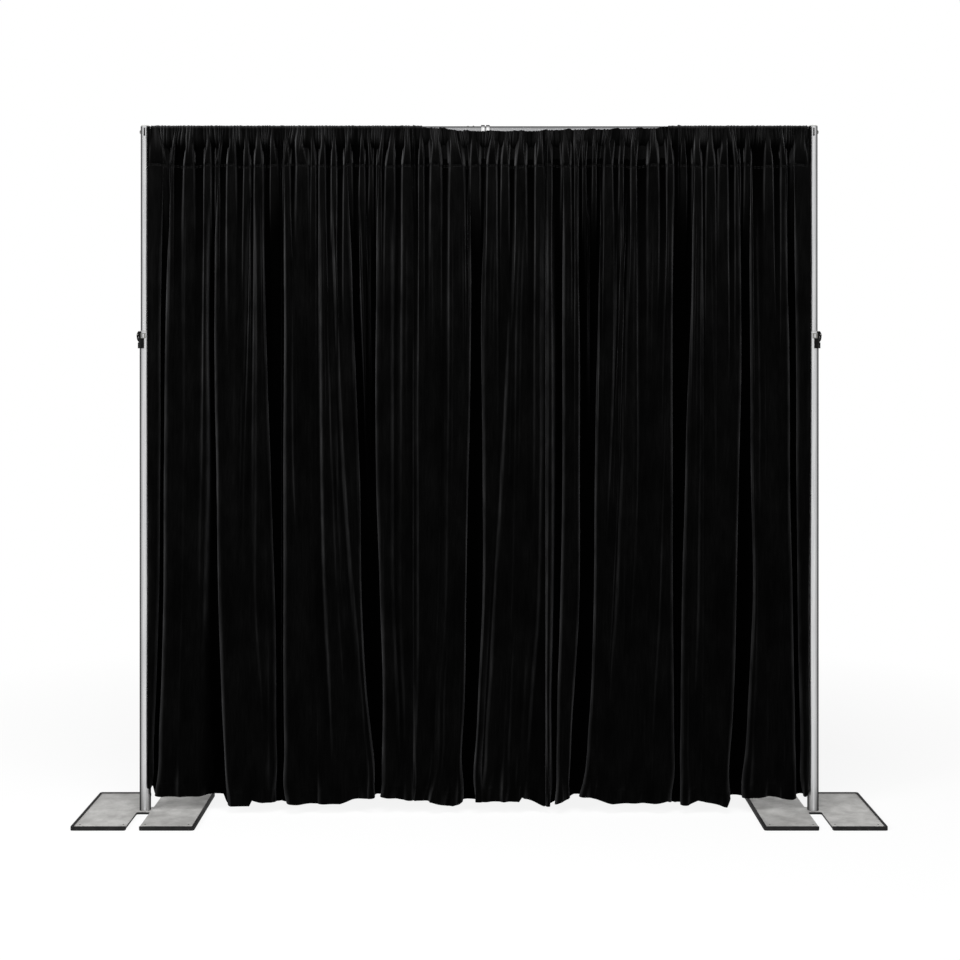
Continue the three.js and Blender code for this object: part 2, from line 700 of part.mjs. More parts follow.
function drapePanel(number) {
  const first = drapeLeft + widthOfPanel * number + widthGap / 2;
  const last = drapeLeft + widthOfPanel * (number + 1) - widthGap / 2;
  const pocketLimit = barEnd - pocketEndClearance;
  const columns = Array.from({ length: drapeColumns + 1 }, (unused, index) => index / drapeColumns);
  const loopShare = loopWidth / widthOfPanel;

  const beyondPocket = (share) => Math.abs(THREE.MathUtils.lerp(first, last, share)) > pocketLimit;
  const isLooped = (share) => {
    if (beyondPocket(share)) return false;
    if (number === centreWidth) return share < loopShare;
    if (number === sharedWidth) return share > 1 - loopShare;
    return true;
  };
  const fold = (share) => {
    const drift = foldDriftShare * Math.sin(4 * Math.PI * share);
    return Math.cos(2 * Math.PI * (foldCounts[number] * share + foldPhaseShares[number] + drift));
  };

  // Middle of the cloth at a share of the panel's width and a drop share, 0 at the seam and 1 at the hem
  const sheetPoint = (share, drop) => {
    const x = THREE.MathUtils.lerp(first, last, share);
    const toTube = halfSpacing - lowerTubeRadius - Math.abs(x);
    const nearTube = 1 - THREE.MathUtils.smoothstep(toTube, 0, tubeLeadIn);
    const depth = THREE.MathUtils.lerp(foldDepthAtSeam, foldDepthAtHem, drop);
    const front = -(lowerTubeRadius + tubeClearance + clothThickness);
    const sway = foldShift * drop * Math.sin(2 * Math.PI * share) * Math.sin(Math.PI * share);
    const y = THREE.MathUtils.lerp(depth * fold(share), front, nearTube);
    return new THREE.Vector2(x + sway * (1 - nearTube), y);
  };
  const headPoint = (share) => {
    const x = THREE.MathUtils.lerp(first, last, share);
    const toTube = halfSpacing - lowerTubeRadius - Math.abs(x);
    const nearTube = 1 - THREE.MathUtils.smoothstep(toTube, 0, tubeLeadIn);
    const toJoint = Math.abs(x - barJointX) - collarLength - collarSpacing;
    const nearJoint = 1 - THREE.MathUtils.smoothstep(toJoint, 0, tubeLeadIn);
    const overCollar = collarDiameter / 2 + barClearance + clothThickness;
    const seat = THREE.MathUtils.lerp(loopRadius, overCollar, nearJoint);
    const gathered = -(seat + gatherDepthFront * (1 - fold(share)) / 2);
    const front = -(lowerTubeRadius + tubeClearance + clothThickness);
    return new THREE.Vector2(x, THREE.MathUtils.lerp(gathered, front, nearTube));
  };
  // Front and back faces of the cloth lie half its thickness to each side of its middle, square to the fold
  const faces = (point, share, height) => {
    const step = 1 / drapeColumns / 2;
    const before = point(Math.max(0, share - step));
    const after = point(Math.min(1, share + step));
    const along = after.sub(before).setLength(clothThickness / 2);
    const middle = point(share);
    return [
      new THREE.Vector3(middle.x + along.y, middle.y - along.x, height),
      new THREE.Vector3(middle.x - along.y, middle.y + along.x, height),
    ];
  };
  const headLevel = (share) => {
    if (isLooped(share)) return barAxisHeight;
    if (beyondPocket(share)) return barAxisHeight + pocketEndRise;
    const fromLoop = number === centreWidth
      ? (share - loopShare) / centreDroopRunShare : (1 - loopShare - share) / sharedDroopRunShare;
    const droop = THREE.MathUtils.lerp(droopAtLoopShare, 1, THREE.MathUtils.clamp(fromLoop, 0, 1));
    return barAxisHeight + barRadius - headerDroop * droop;
  };
  const stationsAt = (share) => {
    const x = THREE.MathUtils.lerp(first, last, share);
    const hem = hemLevel(x);
    const sheet = dropShares.map((drop) => faces(
      (at) => sheetPoint(at, drop), share, THREE.MathUtils.lerp(seamLevel, hem, drop)));
    const seam = [0, seamHeight].map((rise) => faces((at) => sheetPoint(at, 0), share, seamLevel + rise));
    const head = faces(headPoint, share, headLevel(share));
    const loop = loopStations.map((turn) => {
      const depth = THREE.MathUtils.lerp(gatherDepthBack, gatherDepthTop, Math.sin(turn));
      const radius = loopRadius + depth * (1 - fold(share)) / 2;
      return [clothThickness / 2, -clothThickness / 2].map((offset) => new THREE.Vector3(
        x, (radius + offset) * Math.cos(turn), barAxisHeight + (radius + offset) * Math.sin(turn)));
    });
    return [...sheet, ...seam, head, ...loop];
  };

  const stations = columns.map(stationsAt);
  const seamRow = dropShares.length;
  const headRow = seamRow + 2;
  const endRow = headRow + loopStations.length;
  const outer = (column, row) => (row > endRow ? stations[column][seamRow][1] : stations[column][row][0]);
  const inner = (column, row) => (row > endRow ? stations[column][seamRow + 1][1] : stations[column][row][1]);
  const corners = [];
  const quad = (a, b, c, d) => corners.push(a, b, c, a, c, d);
  const endStrip = (column, fromRow, toRow, facesLeft) => {
    for (let row = fromRow; row < toRow; row += 1) {
      const strip = [outer(column, row), outer(column, row + 1), inner(column, row + 1), inner(column, row)];
      quad(...(facesLeft ? strip : strip.reverse()));
    }
  };
  const looped = columns.slice(1).map((share, index) => isLooped((share + columns[index]) / 2));

  for (let column = 0; column < drapeColumns; column += 1) {
    const next = column + 1;
    const lastRow = looped[column] ? endRow + 1 : headRow;
    for (let row = 0; row < lastRow; row += 1) {
      quad(outer(column, row), outer(next, row), outer(next, row + 1), outer(column, row + 1));
      if (!(looped[column] && row === seamRow)) {
        quad(inner(column, row), inner(column, row + 1), inner(next, row + 1), inner(next, row));
      }
    }
    quad(outer(column, 0), inner(column, 0), inner(next, 0), outer(next, 0));
    if (!looped[column]) {
      quad(outer(next, headRow), inner(next, headRow), inner(column, headRow), outer(column, headRow));
    }
    if (looped[column] && !looped[column - 1]) endStrip(column, headRow, endRow + 1, true);
    if (looped[column] && !looped[next]) endStrip(next, headRow, endRow + 1, false);
  }
  endStrip(0, 0, headRow, true);
  endStrip(drapeColumns, 0, headRow, false);
  return mergeVertices(new THREE.BufferGeometry().setFromPoints(corners));
}

// Assembly
const backdrop = new THREE.Group();

function place(group, name, geometry, material) {
  geometry.computeVertexNormals();
  const mesh = new THREE.Mesh(geometry, material());
  mesh.name = name;
  group.add(mesh);
}

const sidePieces = [
  ['base_plate', basePlate, baseSteel],
  ['edge_trim_outer', () => edgeTrim(1), blackRubber],
  ['edge_trim_inner', () => edgeTrim(-1), blackRubber],
  ['base_pin', basePin, zincSteel],
  ['pin_bolt', pinBolt, zincSteel],
  ['lower_tube', lowerTube, aluminium],
  ['tube_bush', tubeBush, greyNylon],
  ['upper_tube', upperTube, aluminium],
  ['mast_guide', mastGuide, blackNylon],
  ['head_cap', headCap, greyNylon],
  ['lock_bracket', lockBracket, zincSteel],
  ['lock_body', lockBody, blackNylon],
  ['lock_rivet_front', () => lockRivet(rivetBearings[0]), blackSteel],
  ['lock_rivet_back', () => lockRivet(rivetBearings[1]), blackSteel],
  ['lock_lever', lockLever, blackNylon],
  ['lever_pin', leverPin, zincSteel],
  ['brake_shoe', brakeShoe, blackRubber],
  ['bar_plug', barPlug, blackNylon],
  ['hook', hook, zincSteel],
  ['hook_rivet', () => flushRivet(plugShoulder - hookRivetSetback), zincSteel],
];

for (const [side, direction] of [['left', -1], ['right', 1]]) {
  const upright = new THREE.Group();
  upright.position.x = direction * halfSpacing;
  for (const [name, make, material] of sidePieces) {
    const solid = direction < 0 ? make().rotate([0, 0, 180]) : make();
    place(upright, `${side}_${name}`, geometryOf(solid), material);
  }
  backdrop.add(upright);
}

place(backdrop, 'crossbar_left_half', geometryOf(barLeft()), aluminium);
place(backdrop, 'crossbar_right_half', geometryOf(barRight()), aluminium);
place(backdrop, 'joint_spigot', geometryOf(jointSpigot()), zincSteel);
place(backdrop, 'spigot_rivet', geometryOf(flushRivet(barJointX + spigotRivetReach)), zincSteel);
for (const [side, left] of [['left', -collarSpacing / 2 - collarLength], ['right', collarSpacing / 2]]) {
  place(backdrop, `joint_collar_${side}`, geometryOf(barCollar(barJointX + left)), chromedSteel);
}
buttonPlaces.forEach((button, index) => {
  place(backdrop, `snap_button_${button.name}`, geometryOf(snapButton(button)), chromedSteel);
  const spring = buttonSpring(button, index ? 1 : -1);
  place(backdrop, `button_spring_${button.name}`, geometryOf(spring), zincSteel);
});

foldCounts.forEach((unused, number) => {
  place(backdrop, `drape_width_${number + 1}`, drapePanel(number), blackVelvet);
});

export default backdrop;
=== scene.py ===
# Free-standing pipe and drape backdrop: two flat steel bases, two telescoping uprights with cam locks,
# a crossbar in two halves and five gathered widths of black velvet
import json
import math
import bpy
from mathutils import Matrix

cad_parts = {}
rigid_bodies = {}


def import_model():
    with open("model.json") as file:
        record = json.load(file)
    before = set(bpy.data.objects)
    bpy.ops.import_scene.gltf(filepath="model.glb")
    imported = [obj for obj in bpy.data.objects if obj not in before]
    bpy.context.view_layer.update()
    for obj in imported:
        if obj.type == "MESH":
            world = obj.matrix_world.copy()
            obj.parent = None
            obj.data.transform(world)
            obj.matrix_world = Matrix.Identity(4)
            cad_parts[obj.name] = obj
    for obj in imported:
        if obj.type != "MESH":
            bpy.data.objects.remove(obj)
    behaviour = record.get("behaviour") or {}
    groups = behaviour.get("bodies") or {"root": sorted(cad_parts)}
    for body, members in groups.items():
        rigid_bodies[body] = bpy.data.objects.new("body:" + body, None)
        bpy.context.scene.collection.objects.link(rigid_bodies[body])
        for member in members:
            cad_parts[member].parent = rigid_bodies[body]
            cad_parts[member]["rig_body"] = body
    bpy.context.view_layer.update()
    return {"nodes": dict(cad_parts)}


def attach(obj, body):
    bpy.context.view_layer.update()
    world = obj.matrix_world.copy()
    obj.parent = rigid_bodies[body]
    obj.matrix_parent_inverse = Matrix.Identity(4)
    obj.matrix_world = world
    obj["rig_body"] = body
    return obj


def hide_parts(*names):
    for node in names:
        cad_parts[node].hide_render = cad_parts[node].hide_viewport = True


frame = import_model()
from types import SimpleNamespace

import bpy
import numpy as np

nodes = frame["nodes"]
scene = bpy.context.scene
mm = 0.001
onlySquare = 60  # degrees: rounds the square edges of a round piece and leaves its facets alone

# small helpers

def linear(hexColour):
    channels = [int(hexColour[place:place + 2], 16) / 255 for place in (1, 3, 5)]
    return [c / 12.92 if c <= 0.04045 else ((c + 0.055) / 1.055) ** 2.4 for c in channels] + [1]


# A socket is given a value, another node's output, or a node, which stands for its first output
def addNode(tree, kind, sockets=None, settings=None):
    node = tree.nodes.new("ShaderNode" + kind)
    for name, value in (settings or {}).items():
        setattr(node, name, value)
    for name, value in (sockets or {}).items():
        if isinstance(value, bpy.types.Node):
            value = value.outputs[0]
        if isinstance(value, bpy.types.NodeSocket):
            tree.links.new(value, node.inputs[name])
        else:
            node.inputs[name].default_value = value
    return node


def startMaterial(name):
    material = bpy.data.materials.new(name)
    material.use_nodes = True
    material.node_tree.nodes.clear()
    return material, material.node_tree


def deselectAll():
    if bpy.context.object and bpy.context.object.mode != "OBJECT":
        bpy.ops.object.mode_set(mode="OBJECT")
    bpy.ops.object.select_all(action="DESELECT")


def activate(piece):
    deselectAll()
    piece.select_set(True)
    bpy.context.view_layer.objects.active = piece


# Leaves the piece in edit mode with only its upward faces selected
def selectTop(piece):
    activate(piece)
    bpy.ops.object.mode_set(mode="EDIT")
    bpy.ops.mesh.select_all(action="DESELECT")
    bpy.ops.object.mode_set(mode="OBJECT")
    for face in piece.data.polygons:
        face.select = face.normal.z > 0.9
    bpy.ops.object.mode_set(mode="EDIT")


def applyModifier(piece, kind, **settings):
    activate(piece)
    modifier = piece.modifiers.new(kind.title(), kind)
    for name, value in settings.items():
        setattr(modifier, name, value)
    bpy.ops.object.modifier_apply(modifier=modifier.name)


def cutWith(piece, cutter):
    applyModifier(piece, "BOOLEAN", operation="DIFFERENCE", solver="EXACT", object=cutter)
    bpy.data.objects.remove(cutter)


def bevelEdges(piece, width, segments=3, sharperThan=30):
    applyModifier(piece, "BEVEL", width=width * mm, segments=segments, limit_method="ANGLE",
                  angle_limit=math.radians(sharperThan), harden_normals=False)


def settle(piece, smoothDegrees=32):
    activate(piece)
    bpy.ops.object.transform_apply(location=True, rotation=True, scale=True)
    bpy.ops.object.shade_smooth_by_angle(angle=math.radians(smoothDegrees))


def joinPieces(first, *others):
    activate(first)
    for other in others:
        other.select_set(True)
    bpy.ops.object.join()
    return first


def dress(piece, name, material, replaced):
    piece.name = name
    piece.data.name = name
    piece.data.materials.clear()
    piece.data.materials.append(material)
    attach(piece, nodes[replaced]["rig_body"])
    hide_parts(replaced)
    return piece


# A round bar along X, Y or Z, from its radius and two ends in millimetres; centre has its other places
def roundBar(radius, low, high, centre=(0, 0), along="Z", sides=48, ends="NGON"):
    deselectAll()
    place = [value * mm for value in centre]
    place.insert("XYZ".index(along), (low + high) / 2 * mm)
    turn = {"X": (0, math.radians(90), 0), "Y": (math.radians(90), 0, 0), "Z": (0, 0, 0)}[along]
    bpy.ops.mesh.primitive_cylinder_add(vertices=sides, radius=radius * mm, depth=(high - low) * mm,
                                        end_fill_type=ends, location=place, rotation=turn)
    return bpy.context.object


def roundTube(radius, wall, low, high, centre=(0, 0), along="Z", sides=64):
    piece = roundBar(radius, low, high, centre, along, sides, "NOTHING")
    applyModifier(piece, "SOLIDIFY", thickness=wall * mm, offset=-1)
    settle(piece)
    return piece


def squareBar(low, high):
    deselectAll()
    bpy.ops.mesh.primitive_cube_add(size=1, location=[(a + b) / 2 * mm for a, b in zip(low, high)],
                                    scale=[(b - a) * mm for a, b in zip(low, high)])
    return bpy.context.object


# A copy of a CAD node's own shape, with its doubles merged, its flat faces whole and its edges rounded
copied = {"mergeWithin": 0.02, "flatWithin": 0.6}  # millimetres, and degrees between faces that become one


def roundedCopy(nodeName, name, material, rounding, segments=3, smoothDegrees=32):
    piece = bpy.data.objects.new(name, nodes[nodeName].data.copy())
    scene.collection.objects.link(piece)
    activate(piece)
    bpy.ops.object.mode_set(mode="EDIT")
    bpy.ops.mesh.select_all(action="SELECT")
    bpy.ops.mesh.remove_doubles(threshold=copied["mergeWithin"] * mm)
    bpy.ops.mesh.dissolve_limited(angle_limit=math.radians(copied["flatWithin"]))
    bpy.ops.object.mode_set(mode="OBJECT")
    if rounding:
        bevelEdges(piece, rounding, segments)
    settle(piece, smoothDegrees)
    return dress(piece, name, material, nodeName)


# camera, light and floor
print("Camera, light and floor")
view = {
    "distance": 7.0,  # metres from the uprights
    "height": 2.0666,  # the camera looks level, at the height of the height locks
    "lens": 57.49,  # millimetres
    "sensor": 36,
    "shiftX": 0.0009,
    "shiftY": -0.1251,
    "seesTo": 100,
}
deselectAll()
bpy.ops.object.camera_add(location=(0, -view["distance"], view["height"]),
                          rotation=(math.radians(90), 0, 0))
camera = bpy.context.object
camera.data.sensor_width = view["sensor"]
camera.data.lens = view["lens"]
camera.data.shift_x, camera.data.shift_y = view["shiftX"], view["shiftY"]
camera.data.clip_end = view["seesTo"]
scene.camera = camera
scene.view_settings.view_transform = "Standard"

studio = {
    "ambient": 0.36,  # world light on the object; the camera sees plain white instead
    "lamps": [  # name, place, aimed at, width, height, watts
        ("softboxLeft", (-5.2, -5.0, 3.6), (-0.3, 0, 1.7), 2.4, 3.2, 400),
        ("softboxRight", (5.4, -4.6, 3.2), (0.3, 0, 1.6), 2.4, 3.2, 80),
        ("overheadBank", (0, -3.2, 5.4), (0, 0, 1.5), 4.0, 1.4, 240),
    ],
    "floorSize": 60,
    "floorColour": "#f2f2f2",
    "floorWhite": 0.86,  # share of plain white in the floor as it is seen; the rest keeps the shadow
    "floorFadeStart": 2.2,
    "floorFadeEnd": 4.5,
}
white = (1, 1, 1, 1)


# 1 for a look from the camera and for the other kinds of rays named, 0 for light that falls on the object
def seenBy(tree, *kinds):
    rays = addNode(tree, "LightPath")
    seen = rays.outputs["Is Camera Ray"]
    for kind in kinds:
        seen = addNode(tree, "Math", {0: seen, 1: rays.outputs[f"Is {kind} Ray"]},
                       {"operation": "MAXIMUM"}).outputs[0]
    return seen


world = bpy.data.worlds.new("paleStudio")
scene.world = world
world.use_nodes = True
tree = world.node_tree
tree.nodes.clear()
ambient = addNode(tree, "Background", {"Color": white, "Strength": studio["ambient"]})
plainWhite = addNode(tree, "Background", {"Color": white, "Strength": 1})
mixed = addNode(tree, "MixShader", {0: seenBy(tree, "Glossy", "Transmission"), 1: ambient, 2: plainWhite})
addNode(tree, "OutputWorld", {"Surface": mixed})

for name, place, aim, width, height, watts in studio["lamps"]:
    deselectAll()
    bpy.ops.object.light_add(type="AREA", location=place)
    lamp = bpy.context.object
    lamp.name = name
    lamp.data.shape = "RECTANGLE"
    lamp.data.size, lamp.data.size_y = width, height
    lamp.data.energy = watts
    lamp.visible_glossy = False  # the metal mirrors the pale studio, not the softboxes
    toAim = np.array(aim) - np.array(place)
    lamp.rotation_euler = (math.atan2(math.hypot(toAim[0], toAim[1]), -toAim[2]), 0,
                           math.atan2(toAim[1], toAim[0]) - math.radians(90))

deselectAll()
bpy.ops.mesh.primitive_plane_add(size=studio["floorSize"], location=(0, 0, 0))
floor = bpy.context.object
floor.name = "studioFloor"
paleFloor, tree = startMaterial("paleFloor")
matte = addNode(tree, "BsdfDiffuse", {"Color": linear(studio["floorColour"])})
glow = addNode(tree, "Emission", {"Color": white, "Strength": 1})
fromMiddle = addNode(tree, "VectorMath", {0: addNode(tree, "TexCoord").outputs["Object"]},
                     {"operation": "LENGTH"})
farShare = addNode(tree, "MapRange", {
    "Value": fromMiddle.outputs["Value"], "From Min": studio["floorFadeStart"],
    "From Max": studio["floorFadeEnd"], "To Min": studio["floorWhite"], "To Max": 1})
share = addNode(tree, "Math", {0: seenBy(tree, "Glossy"), 1: farShare}, {"operation": "MULTIPLY"})
mixed = addNode(tree, "MixShader", {0: share, 1: matte, 2: glow})
addNode(tree, "OutputMaterial", {"Surface": mixed})
floor.data.materials.append(paleFloor)

# materials
print("Materials")
noiseLow, noiseHigh = 0.3, 0.7  # most of a noise lies between these


# Noise drawn at a real grain size: width, depth and height of one blotch in millimetres
def grain(tree, source, sizes, detail=3, rough=0.55):
    spread = addNode(tree, "Mapping", {"Vector": source, "Scale": [1 / (size * mm) for size in sizes]})
    return addNode(tree, "TexNoise", {"Vector": spread, "Scale": 1, "Detail": detail, "Roughness": rough})


# Lays a second colour over the first where a pattern goes from low to high, and no more of it than most.
# The spans in the dictionaries below hold these three
def stain(tree, first, second, pattern, low, high, most=1):
    share = addNode(tree, "MapRange", {"Value": pattern, "From Min": low, "From Max": high, "To Max": most})
    return addNode(tree, "Mix", {0: share, 6: first, 7: linear(second)}, {"data_type": "RGBA"}).outputs[2]


def finishMaterial(tree, sockets):
    shader = addNode(tree, "BsdfPrincipled", sockets)
    addNode(tree, "OutputMaterial", {"Surface": shader})


# Drawn aluminium tube, satin anodised: long fine die lines, a soft broken highlight and painted shade along
# the edges where it turns away. Sizes in millimetres
aluminiumTube = {
    "pale": "#dcdcdc", "dull": "#bdbdbf", "scuff": "#8a8b8d", "paintedEdgeShadeAndTint": "#373738",
    "lineWidth": 1.6, "lineLength": 260, "lineDepth": 0.02, "lineStrength": 0.15,
    "cloudSizes": (60, 60, 90), "scuffWidth": 5, "scuffLength": 14,
    "lineSpan": (0.32, 0.68), "scuffSpan": (0.66, 0.74, 0.5), "paintedEdgeShadeSpan": (0.05, 0.5),
    "metallic": 0.92, "smoothest": 0.26, "roughest": 0.4,
}


def drawnAluminium(name, along, tones=aluminiumTube):
    def lengthways(width, length):
        return (width, width, length) if along == "Z" else (length, width, width)

    material, tree = startMaterial(name)
    source = addNode(tree, "TexCoord").outputs["Object"]
    lines = grain(tree, source, lengthways(tones["lineWidth"], tones["lineLength"]), detail=2)
    cloud = grain(tree, source, tones["cloudSizes"])
    scuffs = grain(tree, source, lengthways(tones["scuffWidth"], tones["scuffLength"]), detail=4, rough=0.7)
    facing = addNode(tree, "LayerWeight", {"Blend": 0.5}).outputs["Facing"]
    colour = stain(tree, linear(tones["dull"]), tones["pale"], lines, *tones["lineSpan"])
    colour = stain(tree, colour, tones["scuff"], scuffs, *tones["scuffSpan"])
    # painted shade: the colour darkens where the surface turns away from the camera, standing in for a dark
    # edge reflection; the same colour also tints the edge gloss
    colour = stain(tree, colour, tones["paintedEdgeShadeAndTint"], facing, *tones["paintedEdgeShadeSpan"])
    finishMaterial(tree, {
        "Base Color": colour,
        "Metallic": tones["metallic"],
        "Roughness": addNode(tree, "MapRange", {
            "Value": cloud, "From Min": noiseLow, "From Max": noiseHigh,
            "To Min": tones["smoothest"], "To Max": tones["roughest"]}),
        "Specular Tint": linear(tones["paintedEdgeShadeAndTint"]),
        "Normal": addNode(tree, "Bump", {
            "Height": lines, "Distance": tones["lineDepth"] * mm, "Strength": tones["lineStrength"]}),
    })
    return material


# Powder-coated steel plate: grey, slightly orange-peeled, clouded and scuffed by feet and storage
plateSteel = {
    "colour": "#b4b3b1", "cloud": "#9c9b99", "scuff": "#cfcecb", "grit": "#84827f",
    "cloudSizes": (70, 70, 70), "gritSizes": (5, 5, 5), "scuffSizes": (90, 7, 20),  # millimetres
    "cloudSpan": (0.35, 0.65), "gritSpan": (0.5, 0.75, 0.45), "scuffSpan": (0.62, 0.72, 0.5),
    "peelDepth": 0.12, "peelStrength": 0.5, "metallic": 0.3, "smoothest": 0.5, "roughest": 0.66,
}


def powderCoatedSteel(name):
    s = plateSteel
    material, tree = startMaterial(name)
    source = addNode(tree, "TexCoord").outputs["Object"]
    cloud = grain(tree, source, s["cloudSizes"], detail=4, rough=0.6)
    grit = grain(tree, source, s["gritSizes"], rough=0.7)
    scuffs = grain(tree, source, s["scuffSizes"], detail=4, rough=0.65)
    colour = stain(tree, linear(s["colour"]), s["cloud"], cloud, *s["cloudSpan"])
    colour = stain(tree, colour, s["grit"], grit, *s["gritSpan"])
    colour = stain(tree, colour, s["scuff"], scuffs, *s["scuffSpan"])
    finishMaterial(tree, {
        "Base Color": colour,
        "Metallic": s["metallic"],
        "Roughness": addNode(tree, "MapRange", {
            "Value": cloud, "From Min": noiseLow, "From Max": noiseHigh,
            "To Min": s["smoothest"], "To Max": s["roughest"]}),
        "Normal": addNode(tree, "Bump", {
            "Height": grit, "Distance": s["peelDepth"] * mm, "Strength": s["peelStrength"]}),
    })
    return material


# Plain moulded, plated or woven pieces: a colour, a second colour in soft blotches and a fine surface grain.
# Blotch, grain size and grain depth are in millimetres
blotches = {"span": (0.35, 0.65), "gloss": 0.06, "grainStrength": 0.5}  # gloss: roughness either way


def plainFinish(name, colour, second, metallic, roughness, blotch, grainSize, depth, shine=0.5):
    material, tree = startMaterial(name)
    source = addNode(tree, "TexCoord").outputs["Object"]
    patches = grain(tree, source, [blotch] * 3)
    fine = grain(tree, source, [grainSize] * 3, detail=2)
    finishMaterial(tree, {
        "Base Color": stain(tree, linear(colour), second, patches, *blotches["span"]),
        "Metallic": metallic,
        "Roughness": addNode(tree, "MapRange", {
            "Value": patches, "From Min": noiseLow, "From Max": noiseHigh,
            "To Min": roughness - blotches["gloss"], "To Max": roughness + blotches["gloss"]}),
        "Specular IOR Level": shine,
        "Normal": addNode(tree, "Bump", {
            "Height": fine, "Distance": depth * mm, "Strength": blotches["grainStrength"]}),
    })
    return material


tubeAlongZ = drawnAluminium("satinAluminiumUpright", "Z")
# Painted shade: the crossbar's tube is a darker copy of the uprights' finish
tubeAlongX = drawnAluminium("satinAluminiumCrossbar", "X",
                            {**aluminiumTube, "pale": "#b4b4b5", "dull": "#98999a"})
coatedSteel = powderCoatedSteel("powderCoatedSteel")
# Moulded rubber edging: dark grey, dusty on top, with a dull skin
rubberEdge = plainFinish("mouldedRubberEdge", "#111111", "#1f1e1e", metallic=0, roughness=0.78,
                         blotch=25, grainSize=2.5, depth=0.15, shine=0.2)
# Zinc-plated steel: mid grey, with soft duller patches and a broken shine
zincPlate = plainFinish("zincPlatedSteel", "#8e8e8c", "#787772", metallic=0.9, roughness=0.36,
                        blotch=9, grainSize=1.2, depth=0.03)
# Turned and chromed collars: bright face-on, with painted shade round their rolled edges
collarChrome = drawnAluminium("chromedCollar", "X", {**aluminiumTube, "pale": "#f4f4f4", "dull": "#e8e8e8",
                                                     "scuff": "#cfcfcf", "paintedEdgeShadeAndTint": "#1c1c1d"})
# Glass-filled nylon, moulded with a fine spark texture: black for the locks, light grey for caps and bushes
blackNylon = plainFinish("mouldedBlackNylon", "#050505", "#0a0a0a", metallic=0, roughness=0.46,
                         blotch=10, grainSize=0.9, depth=0.05, shine=0.07)
greyNylon = plainFinish("mouldedGreyNylon", "#9a9a98", "#8a8a88", metallic=0, roughness=0.5,
                        blotch=14, grainSize=1.2, depth=0.05)
# E-coated steel rivets and screws: even black with a dull gleam
blackSteel = plainFinish("blackCoatedSteel", "#0c0c0c", "#161616", metallic=0.2, roughness=0.5,
                         blotch=3, grainSize=0.7, depth=0.03, shine=0.2)
# Reverse of the velvet: plain woven cotton, dull charcoal
clothBack = plainFinish("wovenCottonReverse", "#1b1b1b", "#252525", metallic=0, roughness=0.9,
                        blotch=60, grainSize=1.5, depth=0.1, shine=0.1)

# Black cotton velvet: near black face-on because the pile swallows light. The grey where it turns away is a
# painted sheen, and the paler fronts of the folds against their dark hollows are painted shade, varied by
# the nap. Sizes in millimetres
velvet = {
    "deep": "#010101", "front": "#101010", "turned": "#666667", "thread": "#101010",
    "pileSize": 5, "pileDepth": 0.5, "pileStrength": 0.5,  # drawn coarser than real pile, so that it shows
    "pileSpan": (0.4, 0.75, 0.55),
    "napWidth": 9, "napLength": 90, "napLeast": 0.55, "napMost": 1.1,
    "cloudWidth": 120, "cloudLength": 260, "cloudLeast": 0.45, "cloudMost": 1.25,
    "turnStart": 0.06, "turnPower": 1.7, "turnFull": 0.62,
    "stitch": 11, "stitchGapShare": 0.3, "stitchFade": 0.36, "rowSpacing": 7, "rowHalf": 1.4,
    "roughness": 0.9, "sheen": 0.1, "sheenRoughness": 0.3, "sheenTint": "#8f8f96",
}


